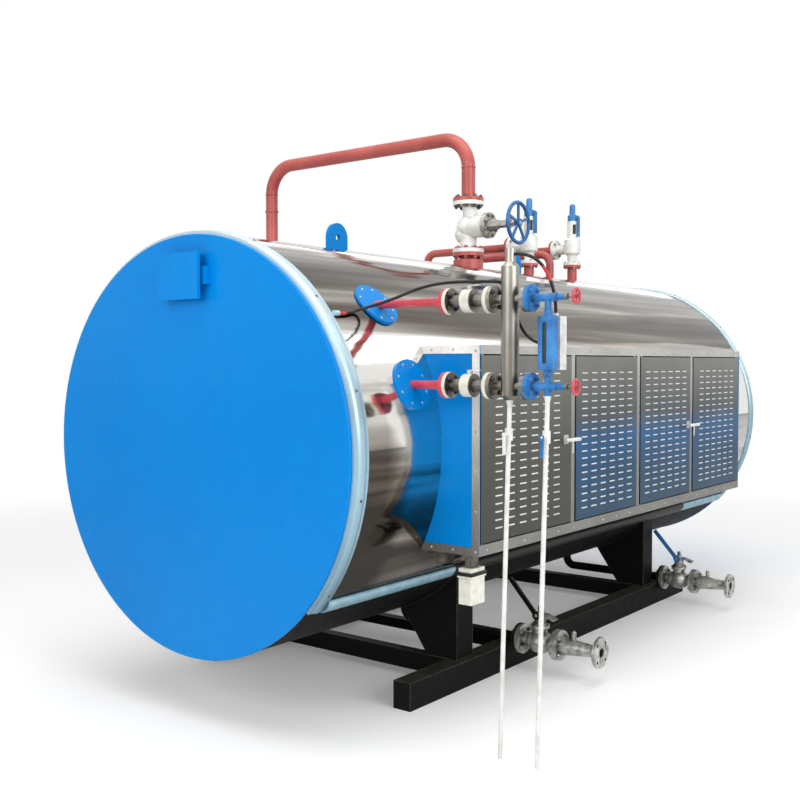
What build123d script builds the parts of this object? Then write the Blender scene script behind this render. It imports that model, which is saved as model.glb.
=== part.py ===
from build123d import *
import os
from math import cos, radians, sin, sqrt

os.makedirs("parts", exist_ok=True)

# Industrial electric steam boiler: a horizontal drum on a skid, millimetres, Z up, front towards -Y.
# Places are given from the middle of the front cover: x right, y along the drum, z up from its axis.

# Drum
vessel_length = 4850
shell_radius = 995
shell_wall = 12
ground_gap = 310
jacket_depth = 15
jacket_edge = -41.5
cover_overhang = 5
cover_thickness = 20
cover_round = 6
seat_gap = 0.3

# Sheet trims over the jacket's edges
trim_thickness = 4
trim_width = 92
trim_setback = 14
trim_end = -42.5
side_trim_angle = 3.6

# Plate stand on the front cover
plate_width = 274
plate_height = 218
plate_sheet = 3
plate_fold = 18
plate_standoff = 60
plate_drop = 199
bracket_width = 320
bracket_height = 84
bracket_depth = 27
bracket_sheet = 4
spacer_size = 24
spacer_spacing = 190

# Lifting lugs
lug_ys = (1060, 2915)
lug_width = 160
lug_height = 155
lug_thickness = 20
lug_hole = 34

# Steam outlet
steam_y = 2350
steam_pipe_radius = 44.5
steam_pipe_wall = 4
main_flange_radius = 100
main_flange_thickness = 24
main_bolt_circle = 160
main_bolt_count = 8
main_bolt_hole = 18
nozzle_collar_radius = 97
nozzle_collar_height = 54
nozzle_height = 102
valve_length = 328
valve_bulge = 76
valve_neck = 54
valve_lobe = 66
valve_lobe_shift = 24
valve_lobe_drop = 46
valve_leg = 48
valve_leg_shift = 30
bonnet_neck_radius = 72
bonnet_neck_length = 64
bonnet_flange_radius = 82
bonnet_flange_thickness = 30
gland_radius = 40
gland_length = 62
gland_taper = 10
yoke_length = 130
yoke_arm_spread = 46
yoke_bar = 16
stem_radius = 11
steam_wheel_gap = 60
steam_wheel_radius = 125
steam_wheel_rim = 12
steam_wheel_hub = 24
steam_wheel_hub_length = 34
steam_wheel_spokes = 5
steam_wheel_spoke = 16
bore_clearance = 0.05
loop_rise = 420
loop_bend = 200
leg_clearance = 768
leg_length = 590
leg_ring_height = 260
leg_ring_radius = 51
leg_ring_width = 12

# Safety valves, each set on a nozzle
safety_ys = (3117, 3752)
safety_heights = (90, 125)
safety_pipe_radius = 36
safety_pipe_wall = 5
safety_flange_radius = 66
safety_flange_thickness = 18
safety_neck_radius = 35
safety_neck_top = 72
safety_body_radius = 60
safety_body_top = 206
safety_bonnet_radius = 38
safety_bonnet_top = 330
safety_cap_radius = 36
safety_cap_neck = 22
safety_cap_knob = 15
safety_cap_top = 458
safety_outlet_z = 124
safety_outlet_radius = 37
safety_outlet_x = 148
outlet_flange_radius = 72
outlet_flange_thickness = 18
safety_lever_x = 58
safety_lever_width = 26
safety_lever_thickness = 12
safety_lever_gap = 6
safety_lever_high = 372
discharge_radius = 28.5
discharge_wall = 3.5
discharge_end_x = 890
discharge_bend = 75
discharge_drop = 190

# Vent pipe behind the safety valves
vent_x = -20
vent_y = 3450
vent_rise = 186
vent_bend = 78
vent_end_x = 800
vent_drop = 170

# Water level fittings in front of the cabinet
level_y = 465
level_zs = (665, 302)
level_pipe_radius = 19
rosette_radius = 117
rosette_thickness = 9
small_flange_radius = 57.5
small_flange_thickness = 18
level_stub = 140
isolator_length = 224
isolator_neck = 28
isolator_body = 50
isolator_body_length = 50
isolator_stem = 12
column_branch = 88
column_radius = 38
column_tail = 59
column_head = 152
column_dish = 18
electrode_radius = 22
electrode_height = 55
cock_branch = 92
cock_barrel = 17
cock_barrel_overhang = 42
cock_bonnet = 13
cock_bonnet_length = 50
cock_spindle = 6
cock_spindle_length = 48
gauge_wheel_radius = 35
gauge_wheel_rim = 5
gauge_wheel_hub = 10
gauge_wheel_hub_length = 16
gauge_wheel_setback = 12
gauge_wheel_spokes = 4
gauge_branch = 88
gauge_width = 82
gauge_depth = 62
gauge_tail = 68
gauge_head = 76
gauge_round = 26
gauge_neck = 14
gauge_nut = 21
gauge_nut_height = 26
sight_width = 20
sight_height = 170
sight_depth = 9
sight_glass_depth = 4
lamp_width = 74
lamp_depth = 54
lamp_round = 4
lamp_gap = 6

# Drain tubes below the column and the lower gauge cock
drain_radius = 10
drain_clearance = 20
drain_lean = 42
drain_cone = 15
drain_cone_height = 22
drain_cone_taper = 10
drain_cock_drops = (143, 167)
drain_cock_radius = 17
drain_cock_height = 52
drain_stem_radius = 5
drain_stem_length = 40
lever_width = 14
lever_length = 78
lever_thickness = 5
lever_boss = 10

# Leads: one from the electrode to the lamp, one from the lamp over the isolating valve to the front trim
cable_radius = 7
gland_size = 12
gland_depth = 14
electrode_exit = 22
cable_over = 118
cable_bend = 62
lead_drop = 109
lead_behind = 60
lead_over = 80
lead_bend = 58
trim_gland_angle = 36.8
trim_gland_length = 30

# Terminal cabinet on the right side
cabinet_front = 631
cabinet_rear = 3933
cabinet_top_z = 479
cabinet_bottom_z = -473
cabinet_depth = 208
end_trim_sheet = 3
end_trim_width = 38
end_panel_sheet = 6
panel_sheet = 4
rail_depth = 40
top_rail_height = 40
bottom_rail_height = 50
post_width = 36
post_depth = 46
post_setback = 4
post_ys = (1515, 2298, 3081)
door_thickness = 22
door_sheet = 2.5
door_gap = 8
door_end_gap = 6
hinge_inset = 20
hinge_pin_radius = 6
hinge_pin_length = 26
hinge_block = 40
slot_length = 58
slot_height = 6
slot_columns = 6
slot_rows = 20
slot_pitch = 108
slot_row_pitch = 37.2
slot_drop = 15
pin_end_gap = 2
handle_edges = (60, 38)
handle_z = 10
handle_plate = 46
handle_stem = 9
handle_reach = 42
handle_bar = 10
handle_bar_length = 150

# Junction box hung below the cabinet's front corner
box_inset = 75
box_width = 71
box_depth = 112
box_height = 165
box_drop = 62
box_lid = 42
box_strap = 10
box_round = 4

# Skid
rail_overhang = 41
rail_width = 105
rail_height = 140
rail_front = 740
rail_rear = 4110
cross_ys = (1200, 1720, 3500)
cross_heights = (100, 60, 100)
cross_width = 64
saddle_ys = (1200, 3500)
saddle_depth = 148
saddle_gap = 36
saddle_foot = 195
saddle_head = 358

# Blowdown lines
blowdown_ys = (1680, 3700)
blowdown_offsets = (65, 22)
blowdown_rise = 8.5
blowdown_radius = 28.5
blowdown_bend = 60
blowdown_flange_radius = 82.5
blowdown_flange_thickness = 18
blowdown_bolt_circle = 125
blowdown_bolt_count = 4
blowdown_bolt_hole = 18
blowdown_bore = 25
blowdown_body = 64
blowdown_body_length = 232
blowdown_body_neck = 38
blowdown_reducer = 50
blowdown_outlet_length = 255
blowdown_outlet_neck = 32
bleed_offset = 92
bleed_radius = 13
bleed_height = 72
bonnet_height = 150
bonnet_radius = 40
bonnet_plate_radius = 52
bonnet_plate_height = 78
bonnet_plate = 14
bonnet_head = 32
bonnet_stem = 12
bonnet_stem_top = 196
wing_width = 40
wing_reach = 104
wing_drop = 26
wing_plate = 14
lever_barrel = 20
lever_pin = 9
lever_boss_radius = 24
lever_gap = 2
lever_reach = 250
lever_bar = 26
lever_plate = 12
lever_angle = 132

# Places worked out from the sizes
axis_height = shell_radius + ground_gap
jacket_radius = shell_radius + jacket_depth
cover_radius = shell_radius + cover_overhang
skin = jacket_radius + seat_gap
base_skin = shell_radius + seat_gap
rail_top = rail_height - axis_height
saddle_outer = skin * cos(radians(trim_end)) - saddle_gap
saddle_foot_inner = saddle_outer - saddle_foot
saddle_top_inner = saddle_outer - saddle_head
rail_outer_x = saddle_outer + rail_overhang
plate_z = cover_radius - plate_drop
nozzle_face = jacket_radius + nozzle_height
valve_top = nozzle_face + valve_length
stem_z = nozzle_face + valve_length / 2
bonnet_flange_x = valve_bulge + bonnet_neck_length
yoke_arm_x = bonnet_flange_x + bonnet_flange_thickness + yoke_length
steam_wheel_x = yoke_arm_x + yoke_bar + steam_wheel_gap
loop_z = valve_top + loop_rise
leg_offset = jacket_radius + leg_clearance
leg_end_z = loop_z - leg_length
leg_ring_z = leg_end_z + leg_ring_height
safety_faces = [jacket_radius + height for height in safety_heights]
safety_lever_low = safety_body_top + safety_lever_gap
vent_z = jacket_radius + vent_rise
level_flange_x = jacket_radius + level_stub
isolator_x = level_flange_x + small_flange_thickness
column_flange_x = isolator_x + isolator_length
column_x = column_flange_x + column_branch
column_low = min(level_zs) - column_tail
column_high = max(level_zs) + column_head
electrode_top = column_high + electrode_height
cock_flange_x = column_x + cock_branch
gauge_x = cock_flange_x + gauge_branch
gauge_low = min(level_zs) + gauge_tail
gauge_high = max(level_zs) - gauge_head
cock_barrel_end = gauge_x + cock_barrel_overhang
cock_bonnet_end = cock_barrel_end + cock_bonnet_length
gauge_reach = cock_bonnet_end + cock_spindle_length
lamp_y = level_y + gauge_depth / 2 + lamp_gap + lamp_depth / 2
drain_end_z = drain_clearance - axis_height
cabinet_face = jacket_radius + cabinet_depth
box_x = cabinet_face - box_inset
trim_edge = trim_setback + trim_width
trim_gland_x = (skin + seat_gap + gland_size) * cos(radians(trim_gland_angle))
trim_gland_z = (skin + seat_gap + gland_size) * sin(radians(trim_gland_angle))
blowdown_z = rail_top + blowdown_rise + blowdown_radius
blowdown_starts = [rail_outer_x + offset for offset in blowdown_offsets]

# The origin lies on the ground under the middle of the overall size
front_y = -(vessel_length - plate_standoff) / 2
axis_x = (leg_offset + main_flange_radius - gauge_reach) / 2


def place(x, y, z):
    return Vector(axis_x + x, front_y + y, axis_height + z)


def section(y):
    return Plane(place(0, y, 0), x_dir=(1, 0, 0), z_dir=(0, -1, 0))


def side(x, y, z):
    return Plane(place(x, y, z), x_dir=(0, 1, 0), z_dir=(1, 0, 0))


def level(x, y, z):
    return Plane(place(x, y, z), x_dir=(1, 0, 0), z_dir=(0, 0, 1))


def upright(x, y, z):
    return Plane(place(x, y, z), x_dir=(1, 0, 0), z_dir=(0, -1, 0))


def save(builder, name):
    builder.part.label = name
    export_step(builder.part, "parts/" + name + ".step")


reach = 2 * jacket_radius
mid_plane = Plane(place(0, vessel_length / 2, 0), x_dir=(1, 0, 0), z_dir=(0, 1, 0))


def wedge(angle):
    lean = radians(angle)
    return (0, 0), (reach * cos(lean), reach * sin(lean)), (-reach * cos(lean), reach * sin(lean))


def crown(angle):
    lean = radians(angle)
    across = reach * cos(lean)
    return (0, 0), (across, reach * sin(lean)), (across, reach), (-across, reach), (-across, reach * sin(lean))


# Drum: bare shell, jacket sheet over its upper part, flat covers
with BuildPart() as vessel_shell:
    with BuildSketch(section(cover_thickness)):
        Circle(shell_radius)
        Circle(shell_radius - shell_wall, mode=Mode.SUBTRACT)
    extrude(amount=2 * cover_thickness - vessel_length)
save(vessel_shell, "vessel_shell")

with BuildPart() as jacket:
    with BuildSketch(section(cover_thickness)):
        Circle(jacket_radius)
        Circle(base_skin, mode=Mode.SUBTRACT)
        Polygon(*wedge(jacket_edge), mode=Mode.SUBTRACT)
    extrude(amount=2 * cover_thickness - vessel_length)
save(jacket, "jacket")

with BuildPart() as front_cover:
    with BuildSketch(section(0)):
        Circle(cover_radius)
    extrude(amount=-cover_thickness)
    fillet(front_cover.edges().sort_by(Axis.Y)[0], cover_round)
save(front_cover, "front_cover")

with BuildPart() as rear_cover:
    with BuildSketch(section(vessel_length)):
        Circle(cover_radius)
    extrude(amount=cover_thickness)
    fillet(rear_cover.edges().sort_by(Axis.Y)[-1], cover_round)
save(rear_cover, "rear_cover")

# Angle trims round both ends: a lip before the jacket's edge and a band over it, with a gland at the front
with BuildPart() as edge_trims:
    with BuildSketch(section(trim_setback)):
        Circle(skin + trim_thickness)
        Circle(cover_radius + seat_gap, mode=Mode.SUBTRACT)
        Polygon(*wedge(trim_end), mode=Mode.SUBTRACT)
    extrude(amount=trim_setback + seat_gap - cover_thickness)
    with BuildSketch(section(trim_setback)):
        Circle(skin + trim_thickness)
        Circle(skin, mode=Mode.SUBTRACT)
        Polygon(*wedge(trim_end), mode=Mode.SUBTRACT)
    extrude(amount=-trim_width)
    mirror(about=mid_plane)
    with BuildSketch(upright(trim_gland_x, trim_edge, trim_gland_z)):
        Circle(gland_size)
    extrude(amount=-trim_gland_length)
save(edge_trims, "edge_trims")

with BuildPart() as side_trims:
    with BuildSketch(section(trim_setback + trim_width)):
        Circle(skin + trim_thickness)
        Circle(skin, mode=Mode.SUBTRACT)
        Polygon(*wedge(trim_end), mode=Mode.SUBTRACT)
        Polygon(*crown(trim_end + side_trim_angle), mode=Mode.SUBTRACT)
    extrude(amount=2 * (trim_setback + trim_width) - vessel_length)
save(side_trims, "side_trims")

# Plate stand: a folded plate on two spacers and a channel bracket
with BuildPart() as plate_stand:
    with BuildSketch(upright(0, -plate_standoff, plate_z)):
        Rectangle(plate_width, plate_height)
    extrude(amount=-plate_fold)
    with BuildSketch(upright(0, plate_sheet - plate_standoff, plate_z)):
        Rectangle(plate_width - 2 * plate_sheet, plate_height - 2 * plate_sheet)
    extrude(amount=-plate_fold, mode=Mode.SUBTRACT)
    with BuildSketch(upright(0, plate_sheet - plate_standoff, plate_z)):
        with GridLocations(spacer_spacing, 0, 2, 1):
            Circle(spacer_size / 2)
    extrude(amount=plate_sheet + bracket_depth - plate_standoff)
    with BuildSketch(upright(0, -bracket_depth, plate_z)):
        Rectangle(bracket_width, bracket_height)
    extrude(amount=-bracket_depth)
    with BuildSketch(upright(0, bracket_sheet - bracket_depth, plate_z)):
        Rectangle(bracket_width - 2 * bracket_sheet, 2 * bracket_height)
    extrude(amount=-bracket_depth, mode=Mode.SUBTRACT)
save(plate_stand, "plate_stand")

# Lifting lugs along the top
with BuildPart() as lifting_lugs:
    for y in lug_ys:
        with BuildSketch(side(-lug_thickness / 2, y, skin)):
            with Locations((0, (lug_height - lug_width / 2) / 2)):
                Rectangle(lug_width, lug_height - lug_width / 2)
            with Locations((0, lug_height - lug_width / 2)):
                Circle(lug_width / 2)
                Circle(lug_hole / 2, mode=Mode.SUBTRACT)
        extrude(amount=lug_thickness)
save(lifting_lugs, "lifting_lugs")

# Nozzles through the jacket's crown
with BuildPart() as top_nozzles:
    with BuildSketch(level(0, steam_y, shell_radius)):
        Circle(steam_pipe_radius)
    extrude(amount=nozzle_face - shell_radius)
    with BuildSketch(level(0, steam_y, nozzle_face)):
        Circle(main_flange_radius)
    extrude(amount=-main_flange_thickness)
    with BuildSketch(level(0, steam_y, jacket_radius - 2 * main_flange_thickness)):
        Circle(nozzle_collar_radius)
    extrude(amount=nozzle_collar_height + 2 * main_flange_thickness)
    for y, face in zip(safety_ys, safety_faces):
        with BuildSketch(level(0, y, shell_radius)):
            Circle(safety_pipe_radius)
        extrude(amount=face - shell_radius)
        with BuildSketch(level(0, y, face)):
            Circle(safety_flange_radius)
        extrude(amount=-safety_flange_thickness)
    with BuildSketch(section(0)):
        Circle(skin)
    extrude(amount=-vessel_length, mode=Mode.SUBTRACT)
    with BuildSketch(level(0, steam_y, nozzle_face)):
        Circle(steam_pipe_radius - steam_pipe_wall)
    extrude(amount=-nozzle_face, mode=Mode.SUBTRACT)
    with BuildSketch(level(0, 0, max(safety_faces))):
        with Locations(*[(0, y) for y in safety_ys]):
            Circle(safety_pipe_radius - safety_pipe_wall)
    extrude(amount=-max(safety_faces), mode=Mode.SUBTRACT)
save(top_nozzles, "top_nozzles")

# Steam stop valve: lower leg and lobe, round chamber, leaning upper leg, bonnet and yoke to the right
with BuildPart() as steam_valve:
    with BuildSketch(level(0, steam_y, nozzle_face)):
        Circle(main_flange_radius)
    extrude(amount=main_flange_thickness)
    with BuildSketch(level(0, steam_y, nozzle_face)):
        Circle(valve_neck)
    extrude(amount=valve_length / 2 - valve_lobe_drop)
    with Locations(place(-valve_lobe_shift, steam_y, stem_z - valve_lobe_drop)):
        Sphere(valve_lobe)
    with Locations(place(0, steam_y, stem_z)):
        Sphere(valve_bulge)
    with BuildLine():
        Line(place(0, steam_y, valve_top), place(valve_leg_shift, steam_y, stem_z))
    with BuildSketch(level(0, steam_y, valve_top)):
        Circle(valve_leg)
    sweep()
    with BuildSketch(level(0, steam_y, valve_top)):
        Circle(main_flange_radius)
    extrude(amount=-main_flange_thickness)
    with BuildSketch(side(0, steam_y, stem_z)):
        Circle(bonnet_neck_radius)
    extrude(amount=bonnet_flange_x)
    with BuildSketch(side(bonnet_flange_x, steam_y, stem_z)):
        Circle(bonnet_flange_radius)
    extrude(amount=bonnet_flange_thickness)
    with BuildSketch(side(bonnet_flange_x + bonnet_flange_thickness, steam_y, stem_z)):
        Circle(gland_radius)
    extrude(amount=gland_length, taper=gland_taper)
    with BuildSketch(side(bonnet_flange_x, steam_y, stem_z)):
        with GridLocations(2 * yoke_arm_spread, 0, 2, 1):
            Rectangle(yoke_bar, 2 * yoke_bar)
    extrude(amount=yoke_arm_x - bonnet_flange_x)
    with BuildSketch(side(yoke_arm_x, steam_y, stem_z)):
        Rectangle(2 * yoke_arm_spread + yoke_bar, 2 * yoke_bar)
        Circle(2 * yoke_bar)
    extrude(amount=yoke_bar)
    with BuildSketch(side(0, steam_y, stem_z)):
        Circle(stem_radius)
    extrude(amount=steam_wheel_x + steam_wheel_hub_length / 2)
save(steam_valve, "steam_valve")

# Steam handwheel on the stem's end
with BuildPart(side(steam_wheel_x, steam_y, stem_z)) as steam_handwheel:
    Torus(steam_wheel_radius, steam_wheel_rim)
    Cylinder(steam_wheel_hub, steam_wheel_hub_length)
    with PolarLocations(steam_wheel_radius / 2, steam_wheel_spokes, start_angle=90):
        Box(steam_wheel_radius, steam_wheel_spoke, steam_wheel_rim)
    Cylinder(stem_radius + bore_clearance, 2 * steam_wheel_hub_length, mode=Mode.SUBTRACT)
save(steam_handwheel, "steam_handwheel")

# Steam pipe: riser, level run to the far side and a leg with the outlet flange
with BuildPart() as steam_pipe:
    with BuildLine():
        FilletPolyline(
            place(0, steam_y, valve_top),
            place(0, steam_y, loop_z),
            place(-leg_offset, steam_y, loop_z),
            place(-leg_offset, steam_y, leg_end_z),
            radius=loop_bend,
        )
    with BuildSketch(level(0, steam_y, valve_top)):
        Circle(steam_pipe_radius)
    sweep()
    with BuildSketch(level(0, steam_y, valve_top)):
        Circle(main_flange_radius)
    extrude(amount=main_flange_thickness)
    with BuildSketch(level(-leg_offset, steam_y, leg_end_z)):
        Circle(main_flange_radius)
        with PolarLocations(main_bolt_circle / 2, main_bolt_count):
            Circle(main_bolt_hole / 2, mode=Mode.SUBTRACT)
    extrude(amount=main_flange_thickness)
    with BuildSketch(level(-leg_offset, steam_y, leg_ring_z)):
        Circle(leg_ring_radius)
    extrude(amount=leg_ring_width)
    with BuildSketch(level(-leg_offset, steam_y, leg_end_z)):
        Circle(steam_pipe_radius - steam_pipe_wall)
    extrude(amount=4 * main_flange_thickness, mode=Mode.SUBTRACT)
save(steam_pipe, "steam_pipe")

# Safety valves: turned body, side outlet, capped spring housing with a lifting lever
with BuildPart() as safety_valves:
    for y, face in zip(safety_ys, safety_faces):
        with BuildSketch(upright(0, y, face)):
            with BuildLine():
                Polyline(
                    (0, 0),
                    (safety_flange_radius, 0),
                    (safety_flange_radius, safety_flange_thickness),
                    (safety_neck_radius, safety_flange_thickness),
                    (safety_neck_radius, safety_neck_top),
                    (safety_body_radius, safety_neck_top + safety_flange_thickness),
                    (safety_body_radius, safety_body_top - safety_flange_thickness),
                    (safety_bonnet_radius, safety_body_top),
                    (safety_bonnet_radius, safety_bonnet_top),
                    (0, safety_bonnet_top),
                    (0, 0),
                )
            make_face()
        revolve(axis=Axis(place(0, y, 0), (0, 0, 1)))
        with BuildSketch(side(0, y, face + safety_outlet_z)):
            Circle(safety_outlet_radius)
        extrude(amount=-safety_outlet_x)
        with BuildSketch(side(-safety_outlet_x, y, face + safety_outlet_z)):
            Circle(outlet_flange_radius)
        extrude(amount=outlet_flange_thickness)
save(safety_valves, "safety_valves")

# Caps over the springs, each with its lifting lever hanging beside the housing
with BuildPart() as safety_caps:
    for y, face in zip(safety_ys, safety_faces):
        with BuildSketch(upright(0, y, face)):
            with BuildLine():
                Polyline(
                    (0, safety_bonnet_top),
                    (safety_cap_radius, safety_bonnet_top),
                    (safety_cap_radius, safety_lever_high),
                    (safety_cap_neck, safety_lever_high + safety_lever_thickness),
                    (safety_cap_neck, safety_cap_top - safety_lever_thickness),
                    (safety_cap_knob, safety_cap_top),
                    (0, safety_cap_top),
                    (0, safety_bonnet_top),
                )
            make_face()
        revolve(axis=Axis(place(0, y, 0), (0, 0, 1)))
        with BuildSketch(upright(0, y + safety_lever_width / 2, face)):
            with BuildLine():
                Polyline(
                    (0, safety_lever_high),
                    (safety_lever_x - safety_lever_thickness, safety_lever_high),
                    (safety_lever_x, safety_lever_high - safety_lever_thickness),
                    (safety_lever_x, safety_lever_low),
                    (safety_lever_x - safety_lever_thickness, safety_lever_low),
                    (safety_lever_x - safety_lever_thickness, safety_lever_high - 2 * safety_lever_thickness),
                    (0, safety_lever_high - 2 * safety_lever_thickness),
                    (0, safety_lever_high),
                )
            make_face()
        extrude(amount=safety_lever_width)
save(safety_caps, "safety_caps")

# Discharge pipes to the far side, turned down at the end
with BuildPart() as discharge_pipes:
    for y, face in zip(safety_ys, safety_faces):
        z = face + safety_outlet_z
        with BuildLine():
            FilletPolyline(
                place(-safety_outlet_x, y, z),
                place(-discharge_end_x, y, z),
                place(-discharge_end_x, y, z - discharge_drop),
                radius=discharge_bend,
            )
        with BuildSketch(side(-safety_outlet_x, y, z)):
            Circle(discharge_radius)
            Circle(discharge_radius - discharge_wall, mode=Mode.SUBTRACT)
        sweep()
        with BuildSketch(side(-safety_outlet_x, y, z)):
            Circle(outlet_flange_radius)
            Circle(discharge_radius - discharge_wall, mode=Mode.SUBTRACT)
        extrude(amount=-outlet_flange_thickness)
save(discharge_pipes, "discharge_pipes")

# Vent pipe out of the crown, bent over to the far side
with BuildPart() as vent_pipe:
    with BuildLine():
        FilletPolyline(
            place(vent_x, vent_y, shell_radius),
            place(vent_x, vent_y, vent_z),
            place(-vent_end_x, vent_y, vent_z),
            place(-vent_end_x, vent_y, vent_z - vent_drop),
            radius=vent_bend,
        )
    with BuildSketch(level(vent_x, vent_y, shell_radius)):
        Circle(discharge_radius)
        Circle(discharge_radius - discharge_wall, mode=Mode.SUBTRACT)
    sweep()
    with BuildSketch(section(vent_y - discharge_radius)):
        Circle(skin)
    extrude(amount=-2 * discharge_radius, mode=Mode.SUBTRACT)
save(vent_pipe, "vent_pipe")

# Rosettes closing the jacket round the level pipes
with BuildPart() as rosettes:
    for z in level_zs:
        x = sqrt(jacket_radius**2 - z**2)
        outward = Vector(x, 0, z).normalized()
        centre = place(x, level_y, z) - outward * rosette_thickness
        with BuildSketch(Plane(centre, x_dir=(0, 1, 0), z_dir=outward)):
            Circle(rosette_radius)
        extrude(amount=2 * rosette_thickness)
    with BuildSketch(section(level_y - rosette_radius)):
        Circle(skin)
    extrude(amount=-2 * rosette_radius, mode=Mode.SUBTRACT)
    with BuildSketch(side(0, level_y, 0)):
        with Locations(*[(0, z) for z in level_zs]):
            Circle(level_pipe_radius + seat_gap)
    extrude(amount=level_flange_x, mode=Mode.SUBTRACT)
save(rosettes, "rosettes")

# Level pipes from the drum to the isolating valves
with BuildPart() as level_pipes:
    for z in level_zs:
        with BuildSketch(side(level_flange_x, level_y, z)):
            Circle(level_pipe_radius)
        extrude(amount=-level_flange_x)
        with BuildSketch(side(level_flange_x, level_y, z)):
            Circle(small_flange_radius)
        extrude(amount=small_flange_thickness)
    with BuildSketch(section(level_y - rosette_radius)):
        Circle(skin)
    extrude(amount=-2 * rosette_radius, mode=Mode.SUBTRACT)
save(level_pipes, "level_pipes")

# Isolating valves between the level pipes and the column
with BuildPart() as isolating_valves:
    for z in level_zs:
        body_start = (isolator_length - isolator_body_length) / 2
        with BuildSketch(upright(isolator_x, level_y, z)):
            with BuildLine():
                Polyline(
                    (0, 0),
                    (0, small_flange_radius),
                    (small_flange_thickness, small_flange_radius),
                    (small_flange_thickness, isolator_neck),
                    (body_start, isolator_neck),
                    (body_start, isolator_body),
                    (body_start + isolator_body_length, isolator_body),
                    (body_start + isolator_body_length, isolator_neck),
                    (isolator_length - small_flange_thickness, isolator_neck),
                    (isolator_length - small_flange_thickness, small_flange_radius),
                    (isolator_length, small_flange_radius),
                    (isolator_length, 0),
                    (0, 0),
                )
            make_face()
        revolve(axis=Axis(place(0, level_y, z), (1, 0, 0)))
        with BuildSketch(level(isolator_x + isolator_length / 2, level_y, z)):
            Circle(isolator_stem)
        extrude(amount=isolator_body + isolator_stem)
save(isolating_valves, "isolating_valves")

# Water column with its four flanged branches and the electrode on top
with BuildPart() as water_column:
    with BuildSketch(upright(column_x, level_y, 0)):
        with BuildLine():
            Polyline(
                (0, column_low),
                (column_radius - column_dish, column_low),
                (column_radius, column_low + column_dish),
                (column_radius, column_high - column_dish),
                (electrode_radius, column_high),
                (electrode_radius, electrode_top),
                (0, electrode_top),
                (0, column_low),
            )
        make_face()
    revolve(axis=Axis(place(column_x, level_y, 0), (0, 0, 1)))
    for z in level_zs:
        with BuildSketch(side(column_flange_x, level_y, z)):
            Circle(level_pipe_radius)
        extrude(amount=cock_flange_x - column_flange_x)
        with BuildSketch(side(column_flange_x, level_y, z)):
            Circle(small_flange_radius)
        extrude(amount=small_flange_thickness)
        with BuildSketch(side(cock_flange_x, level_y, z)):
            Circle(small_flange_radius)
        extrude(amount=-small_flange_thickness)
save(water_column, "water_column")

# Gauge cocks: flange, barrel, bonnet and spindle, with a branch to the gauge between them
with BuildPart() as gauge_cocks:
    for z in level_zs:
        with BuildSketch(upright(cock_flange_x, level_y, z)):
            with BuildLine():
                Polyline(
                    (0, 0),
                    (0, small_flange_radius),
                    (small_flange_thickness, small_flange_radius),
                    (small_flange_thickness, cock_barrel),
                    (cock_barrel_end - cock_flange_x, cock_barrel),
                    (cock_barrel_end - cock_flange_x, cock_bonnet),
                    (cock_bonnet_end - cock_flange_x, cock_bonnet),
                    (cock_bonnet_end - cock_flange_x, cock_spindle),
                    (gauge_reach - cock_flange_x, cock_spindle),
                    (gauge_reach - cock_flange_x, 0),
                    (0, 0),
                )
            make_face()
        revolve(axis=Axis(place(0, level_y, z), (1, 0, 0)))
    with BuildSketch(level(gauge_x, level_y, max(level_zs))):
        Circle(gauge_neck)
    extrude(amount=gauge_high + gauge_nut_height - max(level_zs))
    with BuildSketch(level(gauge_x, level_y, min(level_zs))):
        Circle(gauge_neck)
    extrude(amount=gauge_low - gauge_nut_height - min(level_zs))
    with BuildSketch(level(gauge_x, level_y, min(level_zs))):
        Circle(gauge_neck)
    extrude(amount=-cock_barrel - drain_cone_height)
save(gauge_cocks, "gauge_cocks")

# Red handwheels of the gauge cocks
for name, z in zip(("gauge_wheel_upper", "gauge_wheel_lower"), level_zs):
    with BuildPart(side(gauge_reach - gauge_wheel_setback, level_y, z)) as gauge_wheel:
        Torus(gauge_wheel_radius - gauge_wheel_rim, gauge_wheel_rim)
        Cylinder(gauge_wheel_hub, gauge_wheel_hub_length)
        with PolarLocations(gauge_wheel_radius / 2, gauge_wheel_spokes):
            Box(gauge_wheel_radius - gauge_wheel_rim, gauge_wheel_rim, gauge_wheel_rim)
        Cylinder(cock_spindle + bore_clearance, 2 * gauge_wheel_hub_length, mode=Mode.SUBTRACT)
    save(gauge_wheel, name)

# Level gauge: rounded body with a sight slot at the front and union nuts at both ends
with BuildPart() as level_gauge:
    with BuildSketch(level(gauge_x, level_y, gauge_low)):
        RectangleRounded(gauge_width, gauge_depth, gauge_round)
    extrude(amount=gauge_high - gauge_low)
    with BuildSketch(level(gauge_x, level_y, gauge_high)):
        RegularPolygon(gauge_nut, 6)
    extrude(amount=gauge_nut_height)
    with BuildSketch(level(gauge_x, level_y, gauge_low)):
        RegularPolygon(gauge_nut, 6)
    extrude(amount=-gauge_nut_height)
    with BuildSketch(upright(gauge_x, level_y - gauge_depth / 2, (gauge_low + gauge_high) / 2)):
        SlotOverall(sight_height, sight_width, rotation=90)
    extrude(amount=-sight_depth, mode=Mode.SUBTRACT)
save(level_gauge, "level_gauge")

with BuildPart() as sight_glass:
    with BuildSketch(upright(gauge_x, level_y - gauge_depth / 2 + sight_depth, (gauge_low + gauge_high) / 2)):
        SlotOverall(sight_height - 2 * seat_gap, sight_width - 2 * seat_gap, rotation=90)
    extrude(amount=sight_glass_depth)
save(sight_glass, "sight_glass")

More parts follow.
